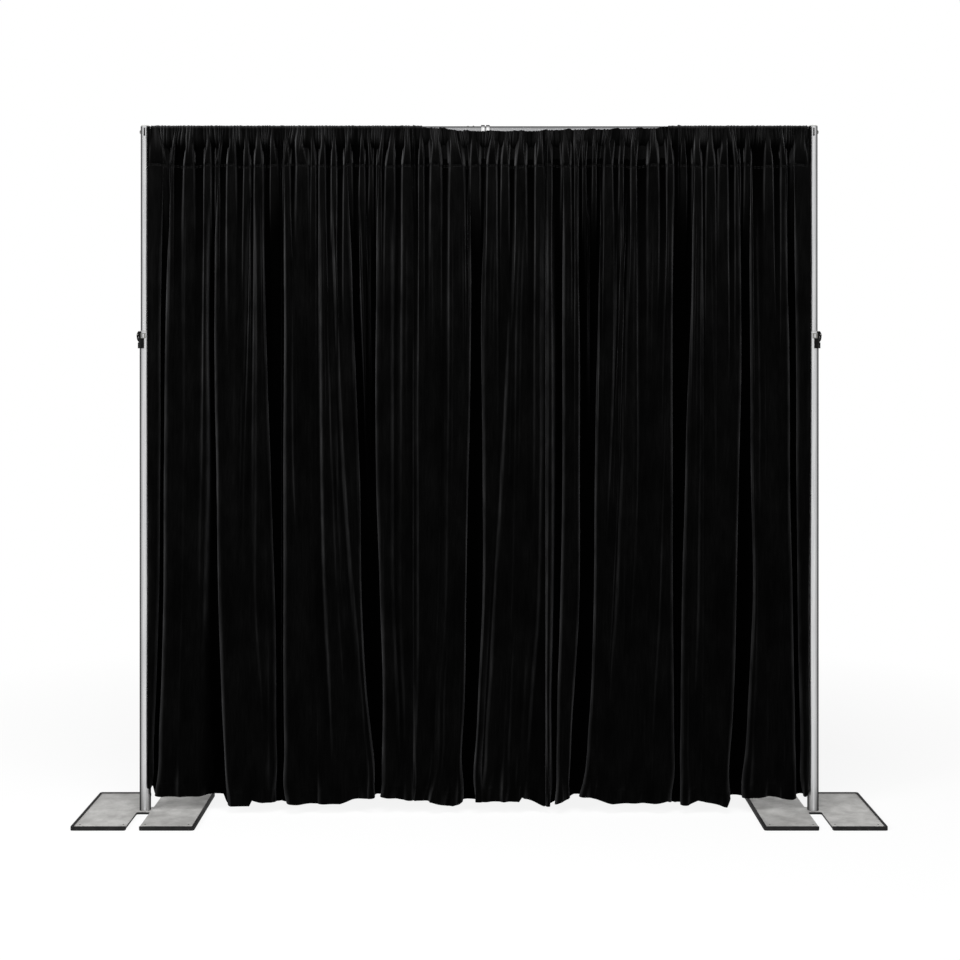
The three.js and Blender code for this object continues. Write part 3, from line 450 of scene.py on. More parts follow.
def cottonVelvet(name, seamAt):
    v = velvet
    material, tree = startMaterial(name)
    cloth = addNode(tree, "UVMap", None, {"uv_map": "clothMap"})
    front = addNode(tree, "Attribute", None, {"attribute_name": "paintedFoldShade"}).outputs["Fac"]
    pile = grain(tree, cloth, (v["pileSize"], v["pileSize"], 1), rough=0.7)
    nap = grain(tree, cloth, (v["napWidth"], v["napLength"], 1))
    cloud = grain(tree, cloth, (v["cloudWidth"], v["cloudLength"], 1), detail=2)
    napShare, cloudShare = [addNode(tree, "MapRange", {
        "Value": pattern, "From Min": noiseLow, "From Max": noiseHigh, "To Min": least, "To Max": most})
        for pattern, least, most in ((nap, v["napLeast"], v["napMost"]),
                                     (cloud, v["cloudLeast"], v["cloudMost"]))]
    brushed = addNode(tree, "Math", {0: napShare, 1: cloudShare}, {"operation": "MULTIPLY"})
    # painted shade: the fold fronts are paler and the hollows dark, from the painted fold shade attribute,
    # varied by the nap
    shown = addNode(tree, "Math", {0: front, 1: brushed}, {"operation": "MULTIPLY", "use_clamp": True})
    colour = stain(tree, linear(v["deep"]), v["front"], shown, 0, 1)
    colour = stain(tree, colour, v["deep"], pile, *v["pileSpan"])

    # painted sheen: the colour goes grey where the cloth turns away from the camera, as far as the painted
    # fold shade and the nap allow
    facing = addNode(tree, "LayerWeight", {"Blend": 0.5}).outputs["Facing"]
    away = addNode(tree, "MapRange", {"Value": facing, "From Min": v["turnStart"], "From Max": 1})
    away = addNode(tree, "Math", {0: away, 1: v["turnPower"]}, {"operation": "POWER"})
    grey = addNode(tree, "MapRange", {"Value": shown, "From Max": v["turnFull"]})
    turned = addNode(tree, "Math", {0: away, 1: grey}, {"operation": "MULTIPLY"})
    colour = stain(tree, colour, v["turned"], turned, 0, 1)

    # two rows of stitches along the seam
    places = addNode(tree, "SeparateXYZ", {0: cloth})
    dash = addNode(tree, "Math", {0: places.outputs["X"], 1: v["stitch"] * mm}, {"operation": "PINGPONG"})
    onDash = addNode(tree, "MapRange", {"Value": dash, "From Min": v["stitch"] * v["stitchGapShare"] * mm,
                                        "From Max": v["stitch"] * v["stitchFade"] * mm})
    for row in (seamAt, seamAt + v["rowSpacing"] * mm):
        onRow = addNode(tree, "Math", {0: places.outputs["Y"], 1: row, 2: v["rowHalf"] * mm},
                        {"operation": "COMPARE"})
        stitch = addNode(tree, "Math", {0: onRow, 1: onDash}, {"operation": "MULTIPLY"})
        colour = stain(tree, colour, v["thread"], stitch, 0, 1)
    finishMaterial(tree, {
        "Base Color": colour,
        "Roughness": v["roughness"],
        "Specular IOR Level": 0,
        "Sheen Weight": v["sheen"],
        "Sheen Roughness": v["sheenRoughness"],
        "Sheen Tint": linear(v["sheenTint"]),
        "Normal": addNode(tree, "Bump", {
            "Height": pile, "Distance": v["pileDepth"] * mm, "Strength": v["pileStrength"]}),
    })
    return material


# bases
print("Bases")
halfSpan = 1524  # from the middle to the axis of each upright
base = {
    "plateTop": 13.5, "plateEdge": 0.9, "rubberEdge": 1.5,
    "screwRadius": 3.4, "screwFoot": 13.2, "screwProud": 0.7, "screwSetback": 225.5,
    "screwPlaces": (-240, -48, 48, 240), "screwRimShare": 0.55, "screwDishShare": 0.8, "screwSides": 20,
}

b = base
for side, sign in (("left", -1), ("right", 1)):
    plate = roundedCopy(side + "_base_plate", side + "BasePlate", coatedSteel,
                        b["plateEdge"], segments=2)
    plate.data.materials.append(blackSteel)  # the side faces all round take the black finish; the top keeps the grey
    for face in plate.data.polygons:
        face.material_index = 0 if abs(face.normal.z) > 0.5 else 1
    for end in ("outer", "inner"):
        roundedCopy(f"{side}_edge_trim_{end}", f"{side}RubberEdge{end.title()}", rubberEdge,
                    b["rubberEdge"], segments=4)
    for count, offset in enumerate(b["screwPlaces"]):
        screw = roundBar(b["screwRadius"], b["screwFoot"], b["plateTop"] + b["screwProud"],
                         (sign * halfSpan + offset, -b["screwSetback"]), sides=b["screwSides"])
        selectTop(screw)
        bpy.ops.mesh.inset(thickness=b["screwRadius"] * b["screwRimShare"] * mm)
        bpy.ops.transform.translate(value=(0, 0, -b["screwProud"] * b["screwDishShare"] * mm))
        bpy.ops.object.mode_set(mode="OBJECT")
        settle(screw)
        screw.name = screw.data.name = f"{side}PlateScrew{count + 1}"
        screw.data.materials.append(blackSteel)
        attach(screw, side + "_base")

# uprights
print("Uprights")
upright = {
    "lowerRadius": 25.4, "lowerWall": 2, "lowerFoot": 13.8, "lowerTop": 2196.5, "lowerEdge": 0.3,
    "upperRadius": 20.65, "upperWall": 1.8, "upperFoot": 1385, "upperTop": 3131,
    "windowHalf": 9.5, "windowFoot": 2174, "windowTop": 2192, "windowCut": 5,  # for the brake shoe
    "slotHalf": 3.2, "slotFoot": 3086.5, "slotTop": 3125, "slotCut": 30, "slotSides": 32,
    "keyholeRadius": 4.3, "keyholeRise": 4.6,
    "plugRadius": 18.55, "plugSunk": 4.7, "capSeat": 0.3, "capRise": 6, "capSides": 64,
    "capShares": ((0.0, 1.0), (0.33, 1.0), (0.6, 0.965), (0.86, 0.86), (1.0, 0.5)),  # of its rise and radius
    "bushBore": 21.05, "bushSleeve": 23.1, "bushFoot": 2164.5, "bushSeat": 2196.8, "bushTop": 2199,
    "bushEdge": 0.6,
}

u = upright


# The opening in the outer side of the lower tube and of its bush
def cutWindow(piece, sign):
    axis = sign * halfSpan
    reach = sorted((axis, axis + sign * (u["lowerRadius"] + u["windowCut"])))
    cutWith(piece, squareBar((reach[0], -u["windowHalf"], u["windowFoot"]),
                             (reach[1], u["windowHalf"], u["windowTop"])))


for side, sign in (("left", -1), ("right", 1)):
    at = (sign * halfSpan, 0)
    lower = roundTube(u["lowerRadius"], u["lowerWall"], u["lowerFoot"], u["lowerTop"], at)
    cutWindow(lower, sign)
    bevelEdges(lower, u["lowerEdge"], segments=2, sharperThan=onlySquare)
    settle(lower)
    dress(lower, side + "LowerTube", tubeAlongZ, side + "_lower_tube")

    sleeve = roundTube(u["bushSleeve"], u["bushSleeve"] - u["bushBore"], u["bushFoot"], u["bushSeat"], at)
    cutWindow(sleeve, sign)
    flange = roundTube(u["lowerRadius"], u["lowerRadius"] - u["bushBore"], u["bushSeat"], u["bushTop"], at)
    bevelEdges(flange, u["bushEdge"], sharperThan=onlySquare)
    bush = joinPieces(flange, sleeve)
    settle(bush)
    dress(bush, side + "TubeBush", greyNylon, side + "_tube_bush")

    # four keyhole slots: two cuts right through the head, one along X and one along Y
    upper = roundTube(u["upperRadius"], u["upperWall"], u["upperFoot"], u["upperTop"], at)
    for along in ("X", "Y"):
        middle, aside = at if along == "X" else at[::-1]
        for height, radius in ((u["slotFoot"] + u["slotHalf"], u["slotHalf"]),
                               (u["slotTop"] - u["slotHalf"], u["slotHalf"]),
                               (u["slotFoot"] + u["keyholeRise"], u["keyholeRadius"])):
            cutWith(upper, roundBar(radius, middle - u["slotCut"], middle + u["slotCut"], (aside, height),
                                    along, u["slotSides"]))
        halves = (u["slotCut"], u["slotHalf"]) if along == "X" else (u["slotHalf"], u["slotCut"])
        cutWith(upper, squareBar((at[0] - halves[0], -halves[1], u["slotFoot"] + u["slotHalf"]),
                                 (at[0] + halves[0], halves[1], u["slotTop"] - u["slotHalf"])))
    settle(upper)
    dress(upper, side + "UpperTube", tubeAlongZ, side + "_upper_tube")

    cap = roundBar(u["plugRadius"], u["upperTop"] - u["plugSunk"], u["upperTop"] + u["capSeat"], at,
                   sides=u["capSides"])
    selectTop(cap)
    bpy.ops.mesh.select_mode(type="FACE")
    before, reached = 0, u["plugRadius"] / u["upperRadius"]
    for rise, share in u["capShares"]:
        bpy.ops.mesh.extrude_region_move(
            TRANSFORM_OT_translate={"value": (0, 0, (rise - before) * u["capRise"] * mm)})
        bpy.ops.transform.resize(value=(share / reached, share / reached, 1),
                                 center_override=(at[0] * mm, 0, 0))
        before, reached = rise, share
    bpy.ops.object.mode_set(mode="OBJECT")
    settle(cap, smoothDegrees=50)
    dress(cap, side + "HeadCap", greyNylon, side + "_head_cap")

# height locks
print("Height locks")
lockPieces = (  # node, new name, material, slot, rounding in millimetres
    ("lock_body", "LockBody", blackNylon, "black_nylon", 0.9),
    ("lock_bracket", "LockBand", zincPlate, "zinc_steel", 0.35),
    ("lock_lever", "LockLever", blackNylon, "black_nylon", 1.0),
    ("lever_pin", "LeverPin", zincPlate, "zinc_steel", 0),
    ("lock_rivet_front", "LockRivetFront", blackSteel, "black_steel", 0.3),
    ("lock_rivet_back", "LockRivetBack", blackSteel, "black_steel", 0.3),
    ("hook", "CrossbarHook", zincPlate, "zinc_steel", 0.8),
    ("bar_plug", "CrossbarPlug", blackNylon, "black_nylon", 0.4),
)
for side in ("left", "right"):
    for node, newName, material, slotName, rounding in lockPieces:
        roundedCopy(f"{side}_{node}", side + newName, material, rounding, smoothDegrees=40)

# crossbar
print("Crossbar")
crossbar = {
    "radius": 19.05, "wall": 2, "height": 3114, "joint": 28.7, "jointGap": 0.15, "end": 1498.75,
    "edge": 0.3, "collarRadius": 24.5, "collarBore": 19.35, "collarLength": 17.2, "collarSpacing": 5.4,
    "collarBevel": 2.4,
    "buttons": (("left", 79.7, 4.6, 1.8), ("right", 54.7, 3.2, 3.2)),  # left of the joint, radius, proud
    "buttonFoot": 3125.5, "buttonPlay": 0.3, "buttonCut": 30, "buttonRoundShare": 0.45, "buttonSides": 32,
}
c = crossbar
height = c["height"]
for side, low, high in (("left", -c["end"], c["joint"] - c["jointGap"]),
                        ("right", c["joint"] + c["jointGap"], c["end"])):
    half = roundTube(c["radius"], c["wall"], low, high, (0, height), "X")
    if side == "left":
        for _, reach, radius, _ in c["buttons"]:
            cutWith(half, roundBar(radius + c["buttonPlay"], height, height + c["buttonCut"],
                                   (c["joint"] - reach, 0)))
    bevelEdges(half, c["edge"], segments=2, sharperThan=onlySquare)
    settle(half)
    dress(half, f"crossbar{side.title()}Half", tubeAlongX, f"crossbar_{side}_half")

    left = c["joint"] + (-c["collarSpacing"] / 2 - c["collarLength"] if side == "left"
                         else c["collarSpacing"] / 2)
    collar = roundTube(c["collarRadius"], c["collarRadius"] - c["collarBore"], left,
                       left + c["collarLength"], (0, height), "X")
    bevelEdges(collar, c["collarBevel"], segments=4, sharperThan=onlySquare)
    settle(collar)
    dress(collar, f"joint{side.title()}Collar", collarChrome, f"joint_collar_{side}")

for side, reach, radius, proud in c["buttons"]:
    # its foot ends as far above the spring as it can be pressed
    button = roundBar(radius, c["buttonFoot"] + proud, height + c["radius"] + proud,
                      (c["joint"] - reach, 0), sides=c["buttonSides"])
    bevelEdges(button, radius * c["buttonRoundShare"], segments=5, sharperThan=onlySquare)
    settle(button, smoothDegrees=60)
    dress(button, f"{side}SnapButton", zincPlate, f"snap_button_{side}")

# CAD nodes whose shape is right keep it and take a finish
innerFinishes = {
    "base_pin": zincPlate, "pin_bolt": zincPlate, "mast_guide": blackNylon, "brake_shoe": rubberEdge,
    "hook_rivet": zincPlate, "joint_spigot": zincPlate, "spigot_rivet": zincPlate,
    "button_spring": zincPlate,
}
for nodeName, node in nodes.items():
    for ending, material in innerFinishes.items():
        if ending in nodeName:
            node.data.materials.clear()
            node.data.materials.append(material)

# drape
print("Drape")
# In millimetres. Depths are from the crossbar's axis, towards the back. Tones are painted shade: how dark or
# pale the velvet is painted
drape = {
    "left": -1511, "width": 604.2, "gap": 1,  # the five widths hang side by side on the bar
    "tuck": 9, "tuckDepth": 3.4,  # each width's right edge passes behind its neighbour's left edge
    "tuckFromShare": 0.965, "tuckShare": 0.035, "coverShare": 0.02, "coverStartShare": 0.4,
    "flatWidth": 0.98, "flatLength": 3.3,  # metres, each width before it was gathered
    "thickness": 1.8, "seam": 2946, "columns": 316, "seed": 31,
    # the rows of the cloth are close together below the seam and above the hem
    "rowsFoot": 60, "rowsBelowSeam": (0, 3, 6, 10, 16, 26, 40, 58), "rowsFrom": 80, "rowSpacing": 27,
    "rowsTo": 75, "rowsAboveHem": (66, 61, 58, 55, 49, 38, 26, 15, 7, 2, 0),
    "fullDepth": 2700, "seamDepthShare": 0.72,  # folds are shallower at the seam and full from here down
    "foldMiddle": -6,
    "sideSteepness": 40,  # how soon the relief starts beside each edge
    # fine gathers on the bar: how many, and the waves that make them uneven
    "gathers": 37, "gatherDrift": ((0.5, 6, 0), (0.3, 18, 1)), "gatherSharpness": 1.5,
    "gatherEven": 0.7, "gatherUneven": ((0.3, 10, 2),),
    "pleatDepth": 23, "pleatLow": 0.8, "pleatFade": 420, "pleatNarrowing": 0.72,
    "pleatFlatShare": 0.75, "pleatEdgeShare": 0.6, "pleatSpreadShare": 0.25, "pleatSpreadReach": 300,
    "plainReach": 480, "plainShare": 0.8,  # the pleats give way to the long folds over this length
    # painted shade of the hanging cloth near the seam and low down, and of the header's back
    "paintedBodyShade": 0.5, "paintedLowShade": 0.32, "paintedBackShade": 0.5,
    "paintedHollowShade": 0.05, "paintedShadeFade": 520,  # painted shade between the pleats: how dark, and how far down
    "paintedShadeBack": 12, "paintedShadeDepth": 44,  # painted shade: cloth this far back is painted dark, and this much in front of it full
    "softTop": 3.5, "softLow": 6.5, "softReach": 1800,  # how far the folds are rounded off
    "creases": ((23, 0.25), (11, 0.9), (5.3, 2.4)),  # soft standing waves: count per width, depth
    "creaseStart": 120, "creaseDrift": 1.4, "creaseSlant": 310, "creaseFade": 470,
    "hemSwell": 9, "swellHeight": 130, "swellSlant": 500,
    "swells": ((1, 4.6, 1, 9), (0.7, 7.3, -1.6, 10)),  # strength, count per width, lean, turn
    "hemDepth": 58, "hemPinch": 0.9, "seamPinch": 0.9, "pinchReach": 5,
    "seamWaves": ((4, 4.4, 7), (3, 10.2, 8)), "seamWaveReach": 60,
}
# The header runs from the seam up over the bar. Shares are of the way from the seam to the bar's height
header = {
    "height": 170, "barGap": 1.2,
    "endReach": 1497, "endTop": 3129, "endDepth": -30,
    "loopLength": 42, "turnRadius": 2.4,  # where the pocket hangs folded flat in front of the bar
    "topBump": 5, "topWaves": ((1, 10.6, 6), (0.5, 23, 8)), "topGather": 2.4,  # and how unevenly it stands
    "gatherFront": 5.4, "gatherTop": 2.2, "gatherRoundness": 3,
    "gatherProud": 9.72, "gatherLean": 0.4, "gatherSunkShare": 0.3,
    "neckLift": 5, "neckReach": 1.1, "neckLean": 0.8,
    # painted light and shade on the header: darker at the seam and in the dents, paler higher up and in the
    # band at the bar
    "dent": 6, "dentHeight": 9, "dentReach": 7, "dentWidthShare": 0.5, "paintedDentShadeShare": 0.8,
    "hollowShare": 0.42, "hollowFadeShare": 0.4,  # how far up it is hollow between the pleats
    "paintedHeaderShade": 1.1, "paintedSeamShade": 0.36, "paleShare": 0.3, "paleFadeShare": 0.5,
    "bandEven": 0.3, "bandUneven": 0.7, "bandShare": 0.5, "bandFadeShare": 0.3,  # painted highlight: the paler band at the bar
    "coverLift": 1.9, "tuckLift": 0.9, "coverTurnShare": 0.8, "backGap": 0.4, "bend": 0.85,
    "frontRows": (0.02, 0.05, 0.09, 0.15, 0.22, 0.3, 0.39, 0.48, 0.58, 0.68, 0.78, 0.87, 0.94, 1),
    "turnRows": 10,
    "backRows": (0.92, 0.8, 0.66, 0.5, 0.34, 0.2, 0.1, 0.04),
}
# Heights at which the place of every fold is given, from the seam to the hem
foldHeights = [2944, 2353, 1521, 902, 543, 188, 66]
# Each width's folds from left to right: kind, then its place along the backdrop at each of those heights, or
# one number where it hangs straight, then its strength in the same way. It is full where none is given, and
# below the last height of a list it has faded out
folds = {
    "firstWidth": [
        ("flatEdge", [-1509.5, -1509.5, -1508, -1506, -1509, -1509.5, -1509]),
        ("rightRim", [-1437, -1450, -1454, -1459, -1471, -1485, -1485]),
        ("valley", [-1419, -1437, -1444, -1447, -1459, -1473, -1474]),
        ("leftRim", [-1404, -1427, -1436, -1439, -1451, -1465, -1465]),
        ("ridge", [-1328, -1333, -1337, -1346, -1356, -1360, -1360], 0.5),
        ("ridge", [-1247, -1247, -1256, -1267, -1274, -1278, -1278], [1, 1, 1, 0.5]),
        ("valley", [-1212, -1227, -1217, -1207, -1196, -1178, -1174]),
        ("leftRim", [-1190, -1211, -1197, -1187, -1178, -1160, -1151]),
        ("ridge", [-1143, -1139, -1135, -1128, -1124, -1115, -1106], [1, 0.66]),
        ("softRightRim", [-1048, -1060, -1087, -1087, -1074, -1060, -1056], [1, 1, 0.75]),
        ("dip", [-1033, -1035, -1046, -1046, -1033, -1019, -1015], [1, 1, 1, 0.35]),
        ("ridge", [-1015, -1006, -1004, -1004, -983, -969, -969], [1, 1, 1, 1, 0.54]),
        ("rightRim", [-976, -969, -949, -930, -924, -922, -922]),
        ("valleyEnd", -908),
    ],
    "secondWidth": [
        ("valleyEnd", -905),
        ("leftRim", [-892, -889, -892, -892, -889, -885, -885]),
        ("ridge", [-865, -846, -834, -805, -796, -792, -792], [1, 1, 1, 0.06]),
        ("dip", [-796, -783, -774, -760, -746, -737, -737], 0.7),
        ("softLeftRim", [-730, -722, -716, -701, -683, -664, -655], [1, 1, 1, 1, 0.64, 0.1]),
        ("ridge", [-700, -689, -657, -628, -605, -583, -574], [1, 1, 1, 1, 0.46]),
        ("dip", [-683, -664, -628, -587, -560, -533, -519], [1, 1, 1, 1, 0.46]),
        ("ridge", [-667, -644, -603, -554, -526, -496, -483]),
        ("rightRim", [-601, -572, -544, -534, -514, -476, -466]),
        ("valley", [-578, -549, -523, -509, -490, -467, -461]),
        ("innerRidge", [-551, -535, -510, -499, -482, -463, -459], [1, 0.8, 0.2]),
        ("innerRidge", [-510, -503, -491, -482, -471, -457, -455], [1, 0.7]),
        ("valley", [-485, -489, -483, -468, -458, -452, -450]),
        ("leftRim", [-462, -474, -469, -449, -438, -444, -444]),
        ("softRightRim", [-396, -393, -394, -387, -367, -355, -351], [1, 1, 1, 1, 0.93, 0.37, 0.2]),
        ("ridge", [-337, -339, -342, -337, -333, -328, -328], [1, 1]),
        ("frontEnd", -304),
    ],
    "thirdWidth": [
        ("frontEnd", -301),
        ("ridge", [-273, -273, -269, -269, -273, -287, -292], 0.6),
        ("ridge", [-210, -205, -205, -210, -223, -242, -269], [0.8, 0.8]),
        ("dip", [-169, -167, -169, -183, -203, -219, -237], 0.9),
        ("ridge", [-135, -130, -135, -147, -169, -187, -219]),
        ("dip", [-98, -94, -98, -105, -119, -128, -142], 0.6),
        ("ridge", [-67, -64, -73, -83, -92, -105, -110], [0.8, 0.8, 0.14]),
        ("rightRim", [-42, -36, -48, -58, -67, -80, -78]),
        ("valley", [-14, -8, -14, -23, -35, -51, -55]),
        ("leftRim", [18, 8, 15, 11, -3, -23, -28]),
        ("ridge", [77, 58, 54, 40, 22, 4, -1], [0.7, 0.7]),
        ("softLeftRim", [163, 143, 101, 65, 43, 22, 18]),
        ("ridge", [206, 183, 168, 154, 136, 118, 113]),
        ("dip", [249, 240, 236, 218, 195, 177, 172], 0.6),
        ("softRightRim", [286, 284, 282, 268, 238, 218, 208], [1, 1, 1, 1, 1, 0.48, 0.3]),
        ("frontEnd", 300),
    ],
    "fourthWidth": [
        ("frontEnd", 303),
        ("ridge", [320, 320, 320, 315, 313, 318, 318], 0.6),
        ("valley", [352, 355, 356, 345, 337, 338, 338], 0.75),
        ("leftRim", [379, 379, 379, 365, 356, 354, 354]),
        ("ridge", [413, 418, 418, 413, 399, 390, 390], 0.4),
        ("rightRim", [445, 460, 461, 456, 436, 418, 424]),
        ("valley", [470, 481, 482, 476, 459, 444, 436]),
        ("innerRidge", [495, 498, 496, 489, 471, 451, 442], [1, 0.8, 0.1]),
        ("valley", [521, 517, 510, 504, 486, 461, 449]),
        ("leftRim", [545, 539, 527, 522, 507, 479, 462]),
        ("ridge", [577, 563, 559, 554, 545, 531, 522], 0.5),
        ("softRightRim", [649, 629, 593, 568, 563, 563, 563], [1, 1, 0.75]),
        ("dip", [668, 647, 618, 593, 579, 577, 577], [1, 1, 1, 0.35]),
        ("softLeftRim", [687, 669, 647, 620, 595, 586, 586], [1, 1, 1, 1, 0.5]),
        ("ridge", [718, 713, 710, 686, 668, 654, 649], [1, 1, 1, 0.7, 0.14]),
        ("ridge", [786, 777, 768, 754, 740, 722, 713], [0.7, 0.7]),
        ("dip", [831, 818, 800, 777, 763, 750, 740], 0.6),
        ("ridge", [859, 847, 831, 809, 790, 777, 777], [1, 1, 1, 1, 0.86, 0.3, 0.1]),
        ("rightRim", [885, 882, 882, 884, 885, 888, 889]),
        ("valleyEnd", 904),
    ],
    "fifthWidth": [
        ("valleyEnd", 908),
        ("leftRim", [975, 962, 936, 921, 918, 917, 917]),
        ("ridge", [1011, 1001, 992, 983, 972, 963, 959], [1, 1, 1, 1, 0.64, 0.1]),
        ("dip", [1027, 1025, 1027, 1027, 1022, 1018, 1018], 0.6),
        ("ridge", [1045, 1052, 1068, 1072, 1068, 1063, 1063], [0.6, 0.6, 0.6, 0.47, 0.13]),
        ("ridge", [1113, 1129, 1122, 1113, 1104, 1095, 1091], [0.8, 0.8]),
        ("rightRim", [1177, 1198, 1183, 1172, 1161, 1141, 1131]),
        ("valley", [1206, 1216, 1213, 1211, 1193, 1172, 1163]),
        ("leftRim", [1229, 1234, 1241, 1245, 1229, 1206, 1197]),
        ("ridge", [1263, 1263, 1268, 1272, 1263, 1250, 1245], [0.8, 0.8, 0.8, 0.14]),
        ("dip", [1295, 1300, 1313, 1322, 1322, 1318, 1318], 0.6),
        ("ridge", [1331, 1345, 1359, 1372, 1377, 1381, 1381], 0.5),
        ("rightRim", [1393, 1410, 1419, 1432, 1437, 1445, 1450]),
        ("valley", [1412, 1428, 1436, 1445, 1452, 1460, 1463]),
        ("leftRim", [1427, 1442, 1449, 1453, 1460, 1468, 1472]),
        ("flatEdge", [1508.5, 1508.5, 1505, 1498, 1498, 1502, 1498]),
    ],
}
# Rounded pleats that stand up at the seam: middle there, half width, middle where they reach the bar
seamPleats = {
    "firstWidth": [(-1462, 45, -1475), (-1401, 8, -1383), (-1322, 23, -1315), (-1237, 15, -1228),
        (-1193, 9, -1165), (-1128, 20, -1119), (-1057, 14, -1060), (-1004, 19, -1004), (-936, 15, -945)],
    "secondWidth": [(-878, 16, -881), (-805, 27, -830), (-755, 10, -760), (-715, 14, -708), (-661, 12, -660),
        (-598, 18, -596), (-533, 11, -533), (-492, 8, -505), (-457, 10, -435), (-406, 20, -393),
        (-330, 20, -323)],
    "thirdWidth": [(-264, 11, -264), (-197, 24, -200), (-102, 32, -120), (-19, 22, -25), (58, 21, 61),
        (118, 16, 120), (190, 23, 189), (274, 18, 281)],
    "fourthWidth": [(320, 11, 315), (396, 20, 388), (444, 8, 431), (479, 7, 468), (525, 8, 522),
        (587, 19, 581), (647, 9, 649), (703, 12, 699), (792, 24, 795), (870, 15, 863)],
    "fifthWidth": [(931, 14, 929), (993, 20, 990), (1054, 20, 1050), (1111, 20, 1122), (1178, 12, 1153),
        (1225, 15, 1221), (1318, 19, 1312), (1388, 14, 1375), (1463, 41, 1459)],
}
# How far each kind of fold reaches: steps along the backdrop and depths, in the order that the cloth runs
foldForms = {
    "flatEdge": ((0, -30.5),),
    "leftRim": ((8, 5), (0, -11), (6, -26), (22, -38)),
    "rightRim": ((-20, -37), (-5, -26), (0, -11), (-8, 5)),
    "softLeftRim": ((-9, -16), (0, -26), (14, -38)),
    "softRightRim": ((-14, -38), (0, -26), (9, -16)),
    "ridge": ((-17, -30), (0, -41), (17, -30)),
    "dip": ((-14, -28), (0, -19), (14, -28)),
    "valley": ((0, 28),),
    "innerRidge": ((-8, -14), (0, -31), (8, -14)),
    "valleyEnd": ((0, 22),),
    "frontEnd": ((0, -15),),
}
plainFront = -30  # how deep a fold that has faded out lies
innerDepth = 22  # and a faded ridge inside a valley
valleyShares = (0.45, 0.75, 1, 1, 1, 1, 1)  # valleys are shallower near the seam
reachShare = 0.42  # no point of a fold goes further than this share of the way to the next fold
endRoom = 100  # room beside the first and the last fold
fadedSpacing = 3  # how close the points of a fold lie once it has faded out
# The hem's height along the backdrop, higher over the bases and at the uprights
hemLine = [
    (-1512, 119), (-1494, 117), (-1487, 82), (-1442, 79), (-1315, 82), (-1169, 82), (-1156, 52),
    (-1142, 36), (-1046, 36), (-1033, 63), (-987, 54), (-910, 51), (-892, 47), (-633, 47), (-578, 66),
    (-496, 75), (-469, 79), (-433, 79), (-360, 66), (-278, 61), (-214, 57), (-146, 34), (-119, 34),
    (-92, 47), (-73, 57), (49, 57), (181, 58), (195, 79), (208, 70), (295, 33), (331, 38), (368, 57),
    (436, 79), (486, 79), (549, 61), (604, 49), (795, 49), (854, 61), (895, 43), (950, 43), (995, 63),
    (1077, 43), (1127, 33), (1145, 70), (1231, 75), (1322, 79), (1422, 70), (1466, 80), (1488, 84),
    (1495, 117), (1509, 119),
]
# Top of the cloth where the third and fourth widths hang in front of the bar
frontTopLine = [(-301, 3127), (-242, 3123), (-133, 3115), (-78, 3106), (95, 3105), (277, 3106), (304, 3110),
                (459, 3113), (577, 3114), (631, 3116), (795, 3119), (850, 3124), (904, 3127)]
widthNames = ("firstWidth", "secondWidth", "thirdWidth", "fourthWidth", "fifthWidth")


def smoothStep(value):
    value = np.clip(value, 0, 1)
    return value * value * (3 - 2 * value)


# Values that are given at the fold heights, read at any height from a smooth curve through them
def alongDrop(values, height):
    heights = np.array(foldHeights[::-1], float)
    table = np.array(values, float)[::-1]
    slopes = np.gradient(table, heights, axis=0)
    height = float(np.clip(height, heights[0], heights[-1]))
    place = int(np.clip(np.searchsorted(heights, height) - 1, 0, len(heights) - 2))
    span = heights[place + 1] - heights[place]
    t = (height - heights[place]) / span
    return ((2 * t**3 - 3 * t**2 + 1) * table[place] + (t**3 - 2 * t**2 + t) * span * slopes[place]
            + (3 * t**2 - 2 * t**3) * table[place + 1] + (t**3 - t**2) * span * slopes[place + 1])


# The points that one row of the cloth runs through, in plan, at every given height
def foldPoints(rows):
    stations = []
    for station in range(len(foldHeights)):
        points = []
        places = [place[station] if isinstance(place, list) else place for _, place, *_ in rows]
        room = [endRoom, *np.diff(places), endRoom]
        for number, (kind, _, *strength) in enumerate(rows):
            power = strength[0] if strength else 1
            if isinstance(power, list):
                power = power[station] if station < len(power) else 0
            power *= valleyShares[station] if kind == "valley" else 1
            form = foldForms[kind]
            for order, (step, depth) in enumerate(form):
                reach = reachShare * room[number + (step > 0)]
                step = max(-reach, min(step, reach))
                spread = (order - (len(form) - 1) / 2) * fadedSpacing
                plain = innerDepth if kind == "innerRidge" else plainFront
                points.append((places[number] + spread + (step - spread) * power,
                               plain + (depth - plain) * power))
        stations.append(points)
    return np.array(stations, float)


# A centripetal curve through plan points, sampled evenly along its length
def evenCurve(points, count, perSpan=14):
    ends = np.vstack([2 * points[0] - points[1], points, 2 * points[-1] - points[-2]])
    traced = []
    for place in range(len(points) - 1):
        p = ends[place:place + 4]
        steps = np.sqrt(np.linalg.norm(np.diff(p, axis=0), axis=1)) + 1e-6
        knots = np.concatenate([[0], np.cumsum(steps)])
        t = np.linspace(knots[1], knots[2], perSpan, endpoint=place == len(points) - 2)[:, None]
        for reach in (1, 2):
            p = [(knots[i + reach] - t) / (knots[i + reach] - knots[i]) * p[i]
                 + (t - knots[i]) / (knots[i + reach] - knots[i]) * p[i + 1] for i in range(4 - reach)]
        traced.append((knots[2] - t) / (knots[2] - knots[1]) * p[0]
                      + (t - knots[1]) / (knots[2] - knots[1]) * p[1])
    traced = np.vstack(traced)
    length = np.concatenate([[0], np.cumsum(np.linalg.norm(np.diff(traced, axis=0), axis=1))])
    even = np.linspace(0, length[-1], count)
    return np.stack([np.interp(even, length, traced[:, axis]) for axis in range(2)], axis=1), length[-1]


